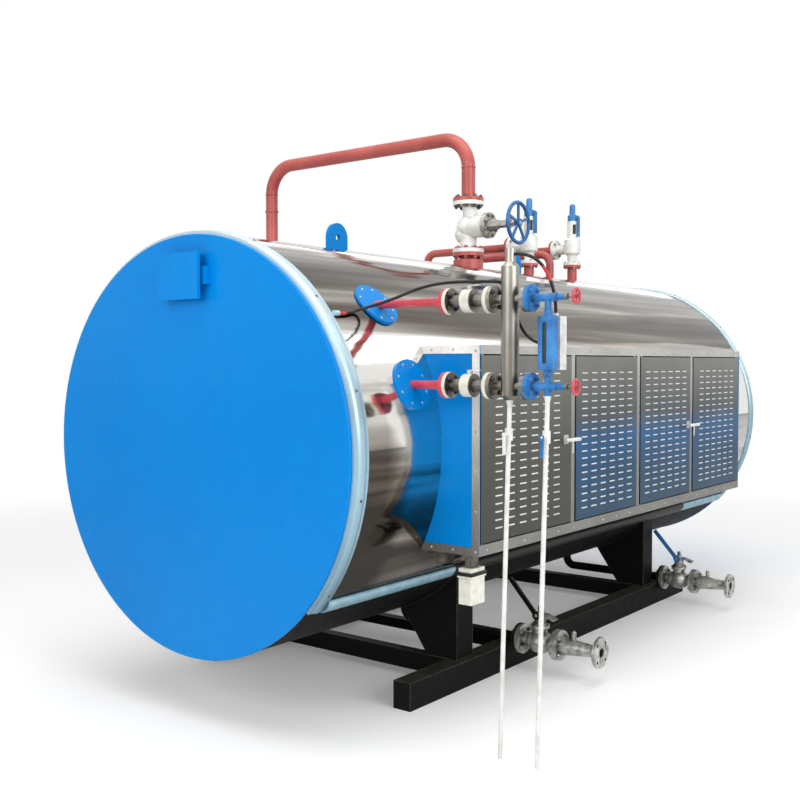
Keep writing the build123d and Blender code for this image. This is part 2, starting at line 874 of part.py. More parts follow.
# Lamp box on the gauge's back, on two spacers, with a gland on top and one at its side
with BuildPart() as gauge_lamp:
    with BuildSketch(level(gauge_x, lamp_y, gauge_low)):
        RectangleRounded(lamp_width, lamp_depth, lamp_round)
    extrude(amount=gauge_high - gauge_low)
    with BuildSketch(upright(gauge_x, level_y + gauge_depth / 2, (gauge_low + gauge_high) / 2)):
        with GridLocations(0, sight_height, 1, 2):
            Rectangle(lamp_width / 2, gauge_neck)
    extrude(amount=-lamp_gap - lamp_round)
    with BuildSketch(level(gauge_x, lamp_y, gauge_high)):
        Circle(gland_size)
    extrude(amount=gland_depth)
    with BuildSketch(side(gauge_x - lamp_width / 2, lamp_y, gauge_high - lead_drop)):
        Circle(gland_size)
    extrude(amount=-gland_depth)
save(gauge_lamp, "gauge_lamp")

# Lead from the electrode's side, bent over and down into the lamp
with BuildPart() as level_cable:
    with BuildLine():
        FilletPolyline(
            place(column_x + electrode_radius, level_y, electrode_top - electrode_exit),
            place(column_x + cable_over, level_y, electrode_top - electrode_exit),
            place(gauge_x, lamp_y, gauge_high + cable_over),
            place(gauge_x, lamp_y, gauge_high + gland_depth),
            radius=cable_bend,
        )
    with BuildSketch(side(column_x + electrode_radius, level_y, electrode_top - electrode_exit)):
        Circle(cable_radius)
    sweep()
save(level_cable, "level_cable")

# Lead from the lamp's side behind the column, over the upper isolating valve and along the jacket
lead_start = gauge_x - lamp_width / 2 - gland_depth
lead_z = gauge_high - lead_drop
lead_top = max(level_zs) + lead_over
with BuildPart() as lamp_lead:
    with BuildLine():
        FilletPolyline(
            place(lead_start, lamp_y, lead_z),
            place(lead_start - 98, lamp_y, lead_z),
            place(column_x - 50, level_y + lead_behind, lead_top - 6),
            place(column_flange_x - 22, level_y, lead_top),
            place(level_flange_x - 70, level_y - 10, lead_top + 5),
            place(trim_gland_x + 61, level_y - 65, trim_gland_z + 60),
            place(trim_gland_x - 18, trim_edge + 194, trim_gland_z + 24),
            place(trim_gland_x, trim_edge + trim_gland_length + 60, trim_gland_z),
            place(trim_gland_x, trim_edge + trim_gland_length, trim_gland_z),
            radius=lead_bend,
        )
    with BuildSketch(side(lead_start, lamp_y, lead_z)):
        Circle(cable_radius)
    sweep()
save(lamp_lead, "lamp_lead")

# Drain tubes with their small cocks
drain_tops = ((column_x, column_low), (gauge_x, min(level_zs) - cock_barrel - drain_cone_height))
with BuildPart() as drain_tubes:
    for (x, top), drop in zip(drain_tops, drain_cock_drops):
        cock_z = top - drop
        cock_x = x - drain_lean * drop / (top - drain_end_z)
        with BuildLine():
            Line(place(x, level_y, top), place(x - drain_lean, level_y, drain_end_z))
        with BuildSketch(level(x, level_y, top)):
            Circle(drain_radius)
        sweep()
        with BuildSketch(level(x, level_y, top)):
            Circle(drain_cone)
        extrude(amount=-drain_cone_height, taper=drain_cone_taper)
        with BuildSketch(level(cock_x, level_y, cock_z - drain_cock_height / 2)):
            RegularPolygon(drain_cock_radius, 8)
        extrude(amount=drain_cock_height)
        with BuildSketch(upright(cock_x, level_y, cock_z)):
            Circle(drain_stem_radius)
        extrude(amount=drain_stem_length)
save(drain_tubes, "drain_tubes")

for name, (x, top), drop in zip(
    ("drain_lever_column", "drain_lever_gauge"), drain_tops, drain_cock_drops
):
    cock_z = top - drop
    cock_x = x - drain_lean * drop / (top - drain_end_z)
    with BuildPart() as drain_lever:
        with BuildSketch(upright(cock_x, level_y - drain_stem_length + lever_thickness, cock_z)):
            Circle(lever_boss)
            with Locations((0, -lever_length / 2)):
                Rectangle(lever_width, lever_length)
            with Locations((0, -lever_length)):
                Circle(lever_width / 2)
            Circle(drain_stem_radius + bore_clearance, mode=Mode.SUBTRACT)
        extrude(amount=lever_thickness)
    save(drain_lever, name)

# Terminal cabinet: end panels shaped to the drum, end trims, top and floor
panel_front = cabinet_front + end_trim_sheet
panel_rear = cabinet_rear - end_trim_sheet
rail_x = cabinet_face - rail_depth
cabinet_height = cabinet_top_z - cabinet_bottom_z
cabinet_mid_z = (cabinet_top_z + cabinet_bottom_z) / 2
for name, y in (("cabinet_front_panel", panel_front), ("cabinet_rear_panel", panel_rear - end_panel_sheet)):
    with BuildPart() as end_panel:
        with BuildSketch(section(y)):
            with Locations((cabinet_face / 2, cabinet_mid_z)):
                Rectangle(cabinet_face, cabinet_height)
            Circle(skin, mode=Mode.SUBTRACT)
        extrude(amount=-end_panel_sheet)
    save(end_panel, name)

with BuildPart() as cabinet_end_trims:
    for y in (cabinet_front, panel_rear):
        with BuildSketch(section(y)):
            with Locations((cabinet_face / 2, cabinet_mid_z)):
                Rectangle(cabinet_face, cabinet_height)
            with Locations(((cabinet_face - end_trim_width) / 2, cabinet_mid_z)):
                Rectangle(
                    cabinet_face - end_trim_width, cabinet_height - 2 * end_trim_width, mode=Mode.SUBTRACT
                )
            Circle(skin, mode=Mode.SUBTRACT)
        extrude(amount=-end_trim_sheet)
save(cabinet_end_trims, "cabinet_end_trims")

bay_front = panel_front + end_panel_sheet
bay_rear = panel_rear - end_panel_sheet
for name, z in (("cabinet_top", cabinet_top_z - panel_sheet), ("cabinet_floor", cabinet_bottom_z)):
    with BuildPart() as sheet:
        with BuildSketch(section(bay_front)):
            with Locations((rail_x / 2, z + panel_sheet / 2)):
                Rectangle(rail_x, panel_sheet)
            Circle(skin, mode=Mode.SUBTRACT)
        extrude(amount=bay_front - bay_rear)
    save(sheet, name)

# Door frame: two long rails, posts between the bays and hinge pins in the rails
door_top = cabinet_top_z - top_rail_height - door_end_gap
door_bottom = cabinet_bottom_z + bottom_rail_height + door_end_gap
door_starts = (bay_front, *[y + post_width / 2 for y in post_ys])
door_ends = (*[y - post_width / 2 for y in post_ys], bay_rear)
hinge_x = cabinet_face - door_thickness / 2
hinge_ys = (
    door_starts[0] + door_gap + hinge_inset,
    door_ends[1] - door_gap - hinge_inset,
    door_starts[2] + door_gap + hinge_inset,
    door_ends[3] - door_gap - hinge_inset,
)
with BuildPart() as cabinet_frame:
    with BuildSketch(section(bay_front)):
        with Locations((cabinet_face - rail_depth / 2, cabinet_top_z - top_rail_height / 2)):
            Rectangle(rail_depth, top_rail_height)
        with Locations((cabinet_face - rail_depth / 2, cabinet_bottom_z + bottom_rail_height / 2)):
            Rectangle(rail_depth, bottom_rail_height)
    extrude(amount=bay_front - bay_rear)
    with BuildSketch(level(0, 0, cabinet_bottom_z + bottom_rail_height)):
        with Locations(*[(cabinet_face - post_setback - post_depth / 2, y) for y in post_ys]):
            Rectangle(post_depth, post_width)
    extrude(amount=cabinet_height - top_rail_height - bottom_rail_height)
    with BuildSketch(level(0, 0, cabinet_top_z - top_rail_height)):
        with Locations(*[(hinge_x, y) for y in hinge_ys]):
            Circle(hinge_pin_radius)
    extrude(amount=-hinge_pin_length)
    with BuildSketch(level(0, 0, cabinet_bottom_z + bottom_rail_height)):
        with Locations(*[(hinge_x, y) for y in hinge_ys]):
            Circle(hinge_pin_radius)
    extrude(amount=hinge_pin_length)
save(cabinet_frame, "cabinet_frame")

# Doors: folded trays with punched air slots and hinge blocks, bored for the pins
door_height = door_top - door_bottom
door_mid_z = (door_top + door_bottom) / 2
for number, (start, end, hinge_y) in enumerate(zip(door_starts, door_ends, hinge_ys), 1):
    door_width = end - start - 2 * door_gap
    door_mid_y = (start + end) / 2
    block_side = 1 if hinge_y > door_mid_y else -1
    with BuildPart() as door:
        with BuildSketch(side(cabinet_face - door_thickness, door_mid_y, door_mid_z)):
            Rectangle(door_width, door_height)
        extrude(amount=door_thickness)
        with BuildSketch(side(cabinet_face - door_thickness, door_mid_y, door_mid_z)):
            Rectangle(door_width - 2 * door_sheet, door_height - 2 * door_sheet)
            with Locations((block_side * (door_width - hinge_block) / 2, 0)):
                with GridLocations(0, door_height - hinge_block, 1, 2):
                    Rectangle(hinge_block, hinge_block, mode=Mode.SUBTRACT)
        extrude(amount=door_thickness - door_sheet, mode=Mode.SUBTRACT)
        with BuildSketch(side(cabinet_face, door_mid_y, door_mid_z - slot_drop)):
            with GridLocations(slot_pitch, slot_row_pitch, slot_columns, slot_rows):
                Rectangle(slot_length, slot_height)
        extrude(amount=-door_sheet, mode=Mode.SUBTRACT)
        with BuildSketch(level(hinge_x, hinge_y, door_top)):
            Circle(hinge_pin_radius + bore_clearance)
        extrude(amount=door_end_gap - hinge_pin_length - pin_end_gap, mode=Mode.SUBTRACT)
        with BuildSketch(level(hinge_x, hinge_y, door_bottom)):
            Circle(hinge_pin_radius + bore_clearance)
        extrude(amount=hinge_pin_length + pin_end_gap - door_end_gap, mode=Mode.SUBTRACT)
    save(door, "cabinet_door_" + str(number))

# T-handles on the free edges of the first and third door
handle_ys = (door_ends[0] - door_gap - handle_edges[0], door_ends[2] - door_gap - handle_edges[1])
for name, y in zip(("door_handle_front", "door_handle_rear"), handle_ys):
    with BuildPart(side(cabinet_face, y, handle_z)) as handle:
        Box(handle_plate, handle_plate, handle_bar / 2, align=(Align.CENTER, Align.CENTER, Align.MIN))
        Cylinder(handle_stem, handle_reach, align=(Align.CENTER, Align.CENTER, Align.MIN))
        with Locations((0, 0, handle_reach)):
            Cylinder(handle_bar, handle_bar_length, rotation=(0, 90, 0))
    save(handle, name)

# Junction box on a strap under the cabinet floor
box_top = cabinet_bottom_z - box_drop
with BuildPart() as junction_box:
    with BuildSketch(level(box_x, cabinet_front + box_depth / 2, box_top - box_height)):
        RectangleRounded(box_width, box_depth, box_round)
    extrude(amount=box_height)
    with BuildSketch(level(box_x, cabinet_front + box_depth / 2, box_top - box_lid)):
        RectangleRounded(box_width + box_strap, box_depth + box_strap, box_round)
    extrude(amount=box_strap)
    with BuildSketch(level(box_x, cabinet_front + box_depth / 2, box_top)):
        Rectangle(box_width / 2, box_depth / 2)
    extrude(amount=box_drop)
save(junction_box, "junction_box")

# Skid: two rails, cross members and tapered saddle legs
with BuildPart() as base_rails:
    with BuildSketch(section(rail_front)):
        with Locations((rail_outer_x - rail_width / 2, rail_top - rail_height / 2)):
            Rectangle(rail_width, rail_height)
        with Locations((rail_width / 2 - rail_outer_x, rail_top - rail_height / 2)):
            Rectangle(rail_width, rail_height)
    extrude(amount=rail_front - rail_rear)
save(base_rails, "base_rails")

rail_inner = rail_outer_x - rail_width
with BuildPart() as cross_members:
    for y, height in zip(cross_ys, cross_heights):
        with BuildSketch(section(y)):
            with Locations((0, rail_top - height / 2)):
                Rectangle(2 * rail_inner, height)
        extrude(amount=-cross_width)
save(cross_members, "cross_members")

with BuildPart() as saddles:
    for y in saddle_ys:
        with BuildSketch(section(y)):
            for hand in (1, -1):
                Polygon(
                    (hand * saddle_foot_inner, rail_top),
                    (hand * saddle_outer, rail_top),
                    (hand * saddle_outer, 0),
                    (hand * saddle_top_inner, 0),
                    (hand * saddle_top_inner, -sqrt(shell_radius**2 - saddle_top_inner**2)),
                )
            Circle(base_skin, mode=Mode.SUBTRACT)
        extrude(amount=-saddle_depth)
save(saddles, "saddles")

# Blowdown lines: pipe from the drum's lowest line over the rail, valve and outlet
with BuildPart() as blowdown_pipes:
    for y, start in zip(blowdown_ys, blowdown_starts):
        with BuildLine():
            FilletPolyline(
                place(0, y, shell_wall - shell_radius),
                place(0, y, blowdown_z),
                place(start, y, blowdown_z),
                radius=blowdown_bend,
            )
        with BuildSketch(level(0, y, shell_wall - shell_radius)):
            Circle(blowdown_radius)
        sweep()
        with BuildSketch(side(start, y, blowdown_z)):
            Circle(blowdown_flange_radius)
        extrude(amount=-blowdown_flange_thickness)
    with BuildSketch(section(0)):
        Circle(base_skin)
    extrude(amount=-vessel_length, mode=Mode.SUBTRACT)
save(blowdown_pipes, "blowdown_pipes")

body_mid = blowdown_body_length / 2
outlet_end = blowdown_body_length + blowdown_outlet_length
with BuildPart() as blowdown_valves:
    for y, start in zip(blowdown_ys, blowdown_starts):
        with BuildSketch(upright(start, y, blowdown_z)):
            with BuildLine():
                Polyline(
                    (0, 0),
                    (0, blowdown_flange_radius),
                    (blowdown_flange_thickness, blowdown_flange_radius),
                    (blowdown_flange_thickness, blowdown_body_neck),
                    (body_mid - blowdown_body, blowdown_body_neck),
                )
                ThreePointArc(
                    (body_mid - blowdown_body, blowdown_body_neck),
                    (body_mid, blowdown_body),
                    (body_mid + blowdown_body, blowdown_body_neck),
                )
                Polyline(
                    (body_mid + blowdown_body, blowdown_body_neck),
                    (blowdown_body_length - blowdown_flange_thickness, blowdown_body_neck),
                    (blowdown_body_length - blowdown_flange_thickness, blowdown_flange_radius),
                    (blowdown_body_length + blowdown_flange_thickness, blowdown_flange_radius),
                    (blowdown_body_length + blowdown_flange_thickness, blowdown_reducer),
                    (outlet_end - 3 * blowdown_flange_thickness, blowdown_outlet_neck),
                    (outlet_end - blowdown_flange_thickness, blowdown_outlet_neck),
                    (outlet_end - blowdown_flange_thickness, blowdown_flange_radius),
                    (outlet_end, blowdown_flange_radius),
                    (outlet_end, blowdown_bore),
                    (blowdown_body_length, blowdown_bore),
                    (blowdown_body_length, 0),
                    (0, 0),
                )
            make_face()
        revolve(axis=Axis(place(0, y, blowdown_z), (1, 0, 0)))
        with BuildSketch(side(start + outlet_end, y, blowdown_z)):
            with PolarLocations(blowdown_bolt_circle / 2, blowdown_bolt_count, start_angle=45):
                Circle(blowdown_bolt_hole / 2)
        extrude(amount=-blowdown_flange_thickness, mode=Mode.SUBTRACT)
        with BuildSketch(level(start + body_mid, y, blowdown_z)):
            Circle(bonnet_radius)
        extrude(amount=bonnet_plate_height + 2 * bonnet_plate)
        with BuildSketch(level(start + body_mid, y, blowdown_z + bonnet_plate_height)):
            Circle(bonnet_plate_radius)
        extrude(amount=bonnet_plate)
        with BuildSketch(level(start + blowdown_body_length + bleed_offset, y, blowdown_z)):
            Circle(bleed_radius)
        extrude(amount=bleed_height)
        with BuildSketch(side(start + outlet_end, y, blowdown_z)):
            Circle(blowdown_bore)
        extrude(amount=-blowdown_outlet_length, mode=Mode.SUBTRACT)
        with BuildSketch(level(start + body_mid, y, blowdown_z)):
            Circle(bonnet_head)
        extrude(amount=bonnet_height)
        with BuildSketch(upright(start + body_mid, y + bonnet_head - lever_gap, blowdown_z + bonnet_height)):
            Circle(lever_barrel)
        extrude(amount=2 * bonnet_head - 2 * lever_gap)
        with BuildSketch(level(start + body_mid, y, blowdown_z)):
            Circle(bonnet_stem)
        extrude(amount=bonnet_stem_top)
        with BuildSketch(upright(start + body_mid, y + wing_width / 2, blowdown_z + bonnet_height)):
            with BuildLine():
                Polyline(
                    (0, wing_plate / 2),
                    (wing_reach / 2, wing_plate / 2),
                    (wing_reach, -wing_drop / 2),
                    (wing_reach - wing_plate, -wing_drop),
                    (wing_reach / 2, -wing_plate / 2),
                    (0, -wing_plate / 2),
                    (0, wing_plate / 2),
                )
            make_face()
        extrude(amount=wing_width)
        with BuildSketch(upright(start + body_mid, y, blowdown_z + bonnet_height)):
            Circle(lever_pin)
        extrude(amount=bonnet_head + lever_gap + lever_plate)
save(blowdown_valves, "blowdown_valves")

# Blowdown levers, each turning on the bonnet's side pin
lever_lean = radians(lever_angle)
for name, y, start in zip(("blowdown_lever_front", "blowdown_lever_rear"), blowdown_ys, blowdown_starts):
    with BuildPart() as blowdown_lever:
        with BuildSketch(upright(start + body_mid, y - bonnet_head - lever_gap, blowdown_z + bonnet_height)):
            Circle(lever_boss_radius)
            with Locations((lever_reach * cos(lever_lean) / 2, lever_reach * sin(lever_lean) / 2)):
                Rectangle(lever_reach, lever_bar, rotation=lever_angle)
            Circle(lever_pin + bore_clearance, mode=Mode.SUBTRACT)
        extrude(amount=lever_plate)
    save(blowdown_lever, name)
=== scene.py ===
from math import asin, cos, pi, radians, sin

import bmesh
import bpy
from mathutils import Matrix, Vector


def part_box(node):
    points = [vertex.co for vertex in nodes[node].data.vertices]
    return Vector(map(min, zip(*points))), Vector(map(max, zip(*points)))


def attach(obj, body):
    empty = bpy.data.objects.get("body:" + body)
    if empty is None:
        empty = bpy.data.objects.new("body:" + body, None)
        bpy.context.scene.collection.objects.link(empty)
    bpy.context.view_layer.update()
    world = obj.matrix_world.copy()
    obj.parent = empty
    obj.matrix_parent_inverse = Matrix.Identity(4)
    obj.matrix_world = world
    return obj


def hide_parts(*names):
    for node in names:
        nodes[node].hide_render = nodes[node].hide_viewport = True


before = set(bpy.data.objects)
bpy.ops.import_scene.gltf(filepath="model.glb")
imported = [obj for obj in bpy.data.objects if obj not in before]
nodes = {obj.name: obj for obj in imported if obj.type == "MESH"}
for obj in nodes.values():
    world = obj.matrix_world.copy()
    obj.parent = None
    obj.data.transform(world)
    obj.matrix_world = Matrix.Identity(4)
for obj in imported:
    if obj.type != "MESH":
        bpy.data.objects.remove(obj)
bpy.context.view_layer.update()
scene = bpy.context.scene
print("frame loaded:", len(nodes), "nodes")

# places are given from the middle of the front cover: x right, y along the drum, z up, in metres
drum = {"x": 0.039, "front": -2.395, "axis": 1.305, "skin": 1.0103}


def spot(x, y, z):
    return Vector((drum["x"] + x, drum["front"] + y, drum["axis"] + z))


def onSkin(angle, y, lift=0.0):
    turn = radians(angle)
    reach = drum["skin"] + lift
    return spot(reach * cos(turn), y, reach * sin(turn))


# camera at the photograph's standpoint
photoCamera = {"place": (3.7816, -5.6030, 1.7023), "tilt": 87.948, "turn": 37.74, "lens": 46.22, "sensor": 36}
cameraData = bpy.data.cameras.new("photoCamera")
cameraData.lens = photoCamera["lens"]
cameraData.sensor_width = photoCamera["sensor"]
cameraObject = bpy.data.objects.new("photoCamera", cameraData)
cameraObject.location = photoCamera["place"]
cameraObject.rotation_euler = (radians(photoCamera["tilt"]), 0, radians(photoCamera["turn"]))
scene.collection.objects.link(cameraObject)
scene.camera = cameraObject
scene.view_settings.view_transform = "Standard"
print("camera set")


def hexLinear(code):
    parts = [int(code[i:i + 2], 16) / 255 for i in (1, 3, 5)]
    return tuple(c / 12.92 if c <= 0.04045 else ((c + 0.055) / 1.055) ** 2.4 for c in parts) + (1.0,)


def perMetre(sizeMm):
    return 1000.0 / sizeMm


def addNode(tree, kind, settings=None, links=None):
    node = tree.nodes.new("ShaderNode" + kind)
    for name, value in (settings or {}).items():
        if name == "stops":
            while len(node.color_ramp.elements) < len(value):
                node.color_ramp.elements.new(0.5)
            for element, (place, colour) in zip(node.color_ramp.elements, value):
                element.position = place
                element.color = hexLinear(colour) if isinstance(colour, str) else (colour, colour, colour, 1)
        elif isinstance(name, str) and hasattr(node, name):
            setattr(node, name, value)
        else:
            node.inputs[name].default_value = value
    for name, source in (links or {}).items():
        tree.links.new(source, node.inputs[name])
    return node


# studio: white behind the object, a softer level all round to light it
studio = {"seen": 1.0, "ambient": 0.42}
world = bpy.data.worlds.new("studio")
world.use_nodes = True
scene.world = world
tree = world.node_tree
tree.nodes.clear()
rays = addNode(tree, "LightPath")
through = addNode(tree, "Math", {"operation": "MAXIMUM"},
                  {0: rays.outputs["Is Camera Ray"], 1: rays.outputs["Is Transmission Ray"]})
seen = addNode(tree, "Math", {"operation": "MAXIMUM"},
               {0: through.outputs[0], 1: rays.outputs["Is Glossy Ray"]})
soft = addNode(tree, "Background", {"Color": (1, 1, 1, 1), "Strength": studio["ambient"]})
white = addNode(tree, "Background", {"Color": (1, 1, 1, 1), "Strength": studio["seen"]})
blend = addNode(tree, "MixShader", None, {0: seen.outputs[0], 1: soft.outputs[0], 2: white.outputs[0]})
addNode(tree, "OutputWorld", None, {"Surface": blend.outputs[0]})

softboxes = {
    "top": {"place": (1.0, -2.0, 7.5), "aim": (0.2, 0.0, 1.2), "size": (7.0, 7.0), "watts": 310},
    "front": {"place": (0.8, -9.5, 4.2), "aim": (0.5, -2.0, 1.3), "size": (6.0, 4.0), "watts": 260},
    "side": {"place": (8.5, -2.5, 4.0), "aim": (0.5, 0.0, 1.2), "size": (6.0, 3.0), "watts": 330},
    "rightStrip": {"place": (4.5, 13.0, 7.0), "aim": (4.5, 13.01, 0.0), "size": (1.5, 22.0), "watts": 180},
    "leftStrip": {"place": (-6.6, 15.0, 7.0), "aim": (-6.6, 15.01, 0.0), "size": (2.6, 24.0), "watts": 260},
}
for name, box in softboxes.items():
    lamp = bpy.data.lights.new(name, "AREA")
    lamp.shape = "RECTANGLE"
    lamp.size, lamp.size_y = box["size"]
    lamp.energy = box["watts"]
    lampObject = bpy.data.objects.new(name, lamp)
    lampObject.location = box["place"]
    sight = Vector(box["aim"]) - Vector(box["place"])
    lampObject.rotation_euler = sight.to_track_quat("-Z", "Y").to_euler()
    scene.collection.objects.link(lampObject)
print("lights set")

# plain pale floor that shows the object's shadow and goes over into the white behind it
floor = {"half": 60.0, "colour": "#f6f6f6", "lift": 0.16, "fadeFrom": 3.6, "fadeTo": 8.0}
shape = bmesh.new()
bmesh.ops.create_grid(shape, x_segments=1, y_segments=1, size=floor["half"])
mesh = bpy.data.meshes.new("studioFloor")
shape.to_mesh(mesh)
shape.free()
floorObject = bpy.data.objects.new("studioFloor", mesh)
scene.collection.objects.link(floorObject)
floorMaterial = bpy.data.materials.new("pale matt floor")
floorMaterial.use_nodes = True
tree = floorMaterial.node_tree
tree.nodes.clear()
rays = addNode(tree, "LightPath")
away = addNode(tree, "VectorMath", {"operation": "LENGTH"}, {0: addNode(tree, "TexCoord").outputs["Object"]})
fade = addNode(tree, "MapRange", {"From Min": floor["fadeFrom"], "From Max": floor["fadeTo"]},
               {"Value": away.outputs["Value"]})
matt = addNode(tree, "BsdfDiffuse", {"Color": hexLinear(floor["colour"])})
glow = addNode(tree, "Emission", {"Color": (1, 1, 1, 1), "Strength": floor["lift"]})
near = addNode(tree, "AddShader", None, {0: matt.outputs[0], 1: glow.outputs[0]})
far = addNode(tree, "Emission", {"Color": (1, 1, 1, 1), "Strength": studio["seen"]})
drawn = addNode(tree, "MixShader", None, {0: fade.outputs[0], 1: near.outputs[0], 2: far.outputs[0]})
seen = addNode(tree, "MixShader", None,
               {0: rays.outputs["Is Camera Ray"], 1: matt.outputs[0], 2: drawn.outputs[0]})
addNode(tree, "OutputMaterial", None, {"Surface": seen.outputs[0]})
mesh.materials.append(floorMaterial)
print("floor laid")


def startMaterial(name):
    material = bpy.data.materials.new(name)
    material.use_nodes = True
    tree = material.node_tree
    tree.nodes.clear()
    coords = addNode(tree, "TexCoord").outputs["Object"]
    return material, tree, coords


def endMaterial(tree, settings, links):
    shader = addNode(tree, "BsdfPrincipled", settings, links)
    addNode(tree, "OutputMaterial", None, {"Surface": shader.outputs[0]})


# sprayed enamel: an even gloss film with faint clouding, a slight orange peel and a little dust
def makeEnamel(name, finish):
    material, tree, coords = startMaterial(name)
    cloud = addNode(tree, "TexNoise",
                    {"Scale": perMetre(finish["cloudMm"]), "Detail": 4.0, "Roughness": 0.55},
                    {"Vector": coords})
    tint = addNode(tree, "ValToRGB", {"stops": [(0.32, finish["dark"]), (0.68, finish["light"])]},
                   {"Fac": cloud.outputs[0]})
    scuff = addNode(tree, "TexNoise",
                    {"Scale": perMetre(finish["scuffMm"]), "Detail": 8.0, "Roughness": 0.7},
                    {"Vector": coords})
    worn = addNode(tree, "ValToRGB", {"stops": [(0.60, 0.0), (0.74, finish["dust"])]},
                   {"Fac": scuff.outputs[0]})
    colour = addNode(tree, "MixRGB", {"Color2": hexLinear(finish["dustColour"])},
                     {"Fac": worn.outputs[0], "Color1": tint.outputs[0]})
    rough = addNode(tree, "MapRange", {"To Min": finish["rough"] - 0.05, "To Max": finish["rough"] + 0.12},
                    {"Value": scuff.outputs[0]})
    # real orange peel is about 2 mm wide, drawn coarser so that it shows
    peel = addNode(tree, "TexNoise", {"Scale": perMetre(finish["peelMm"]), "Detail": 2.0}, {"Vector": coords})
    bump = addNode(tree, "Bump", {"Strength": finish["bump"], "Distance": 0.002}, {"Height": peel.outputs[0]})
    endMaterial(tree, {"IOR": 1.5, "Specular IOR Level": finish["gloss"], "Coat Weight": finish["coat"],
                       "Coat Roughness": 0.06},
                {"Base Color": colour.outputs[0], "Roughness": rough.outputs[0], "Normal": bump.outputs[0]})
    return material


# covers, panels and lugs: clean, even and bright
blueEnamel = makeEnamel("blue gloss enamel", {
    "dark": "#007ccc", "light": "#0085d6", "cloudMm": 1400, "scuffMm": 140, "dust": 0.05,
    "dustColour": "#8fbbd8", "rough": 0.24, "peelMm": 14, "bump": 0.05, "gloss": 0.12, "coat": 0.03})
# pipes and nozzles: chalky red with pale dust
redEnamel = makeEnamel("red oxide enamel", {
    "dark": "#a54a45", "light": "#c2615b", "cloudMm": 260, "scuffMm": 60, "dust": 0.35,
    "dustColour": "#d8a09a", "rough": 0.34, "peelMm": 9, "bump": 0.12, "gloss": 0.3, "coat": 0.12})
# level pipes and small wheels: fresher and pinker than the large pipes
brightRed = makeEnamel("bright red enamel", {
    "dark": "#b83342", "light": "#d25560", "cloudMm": 160, "scuffMm": 40, "dust": 0.15,
    "dustColour": "#e2a2a2", "rough": 0.30, "peelMm": 7, "bump": 0.10, "gloss": 0.3, "coat": 0.12})
# gauge, caps and levers: mottled blue over a rough casting
blueCast = makeEnamel("blue paint on castings", {
    "dark": "#205f9d", "light": "#3c88c8", "cloudMm": 90, "scuffMm": 24, "dust": 0.25,
    "dustColour": "#a9cbe4", "rough": 0.34, "peelMm": 4, "bump": 0.25, "gloss": 0.3, "coat": 0.12})
# steam handwheel: a deeper blue, worn at the rim
navyCast = makeEnamel("dark blue handwheel paint", {
    "dark": "#1d5288", "light": "#2f6fab", "cloudMm": 80, "scuffMm": 20, "dust": 0.20,
    "dustColour": "#7ba6c9", "rough": 0.32, "peelMm": 4, "bump": 0.20, "gloss": 0.3, "coat": 0.12})
# safety valve bodies: off-white with grey dirt on the casting
whitePaint = makeEnamel("off-white valve paint", {
    "dark": "#d6d6cf", "light": "#f3f3ef", "cloudMm": 70, "scuffMm": 18, "dust": 0.50,
    "dustColour": "#8d8c82", "rough": 0.40, "peelMm": 4, "bump": 0.30, "gloss": 0.5, "coat": 0.15})


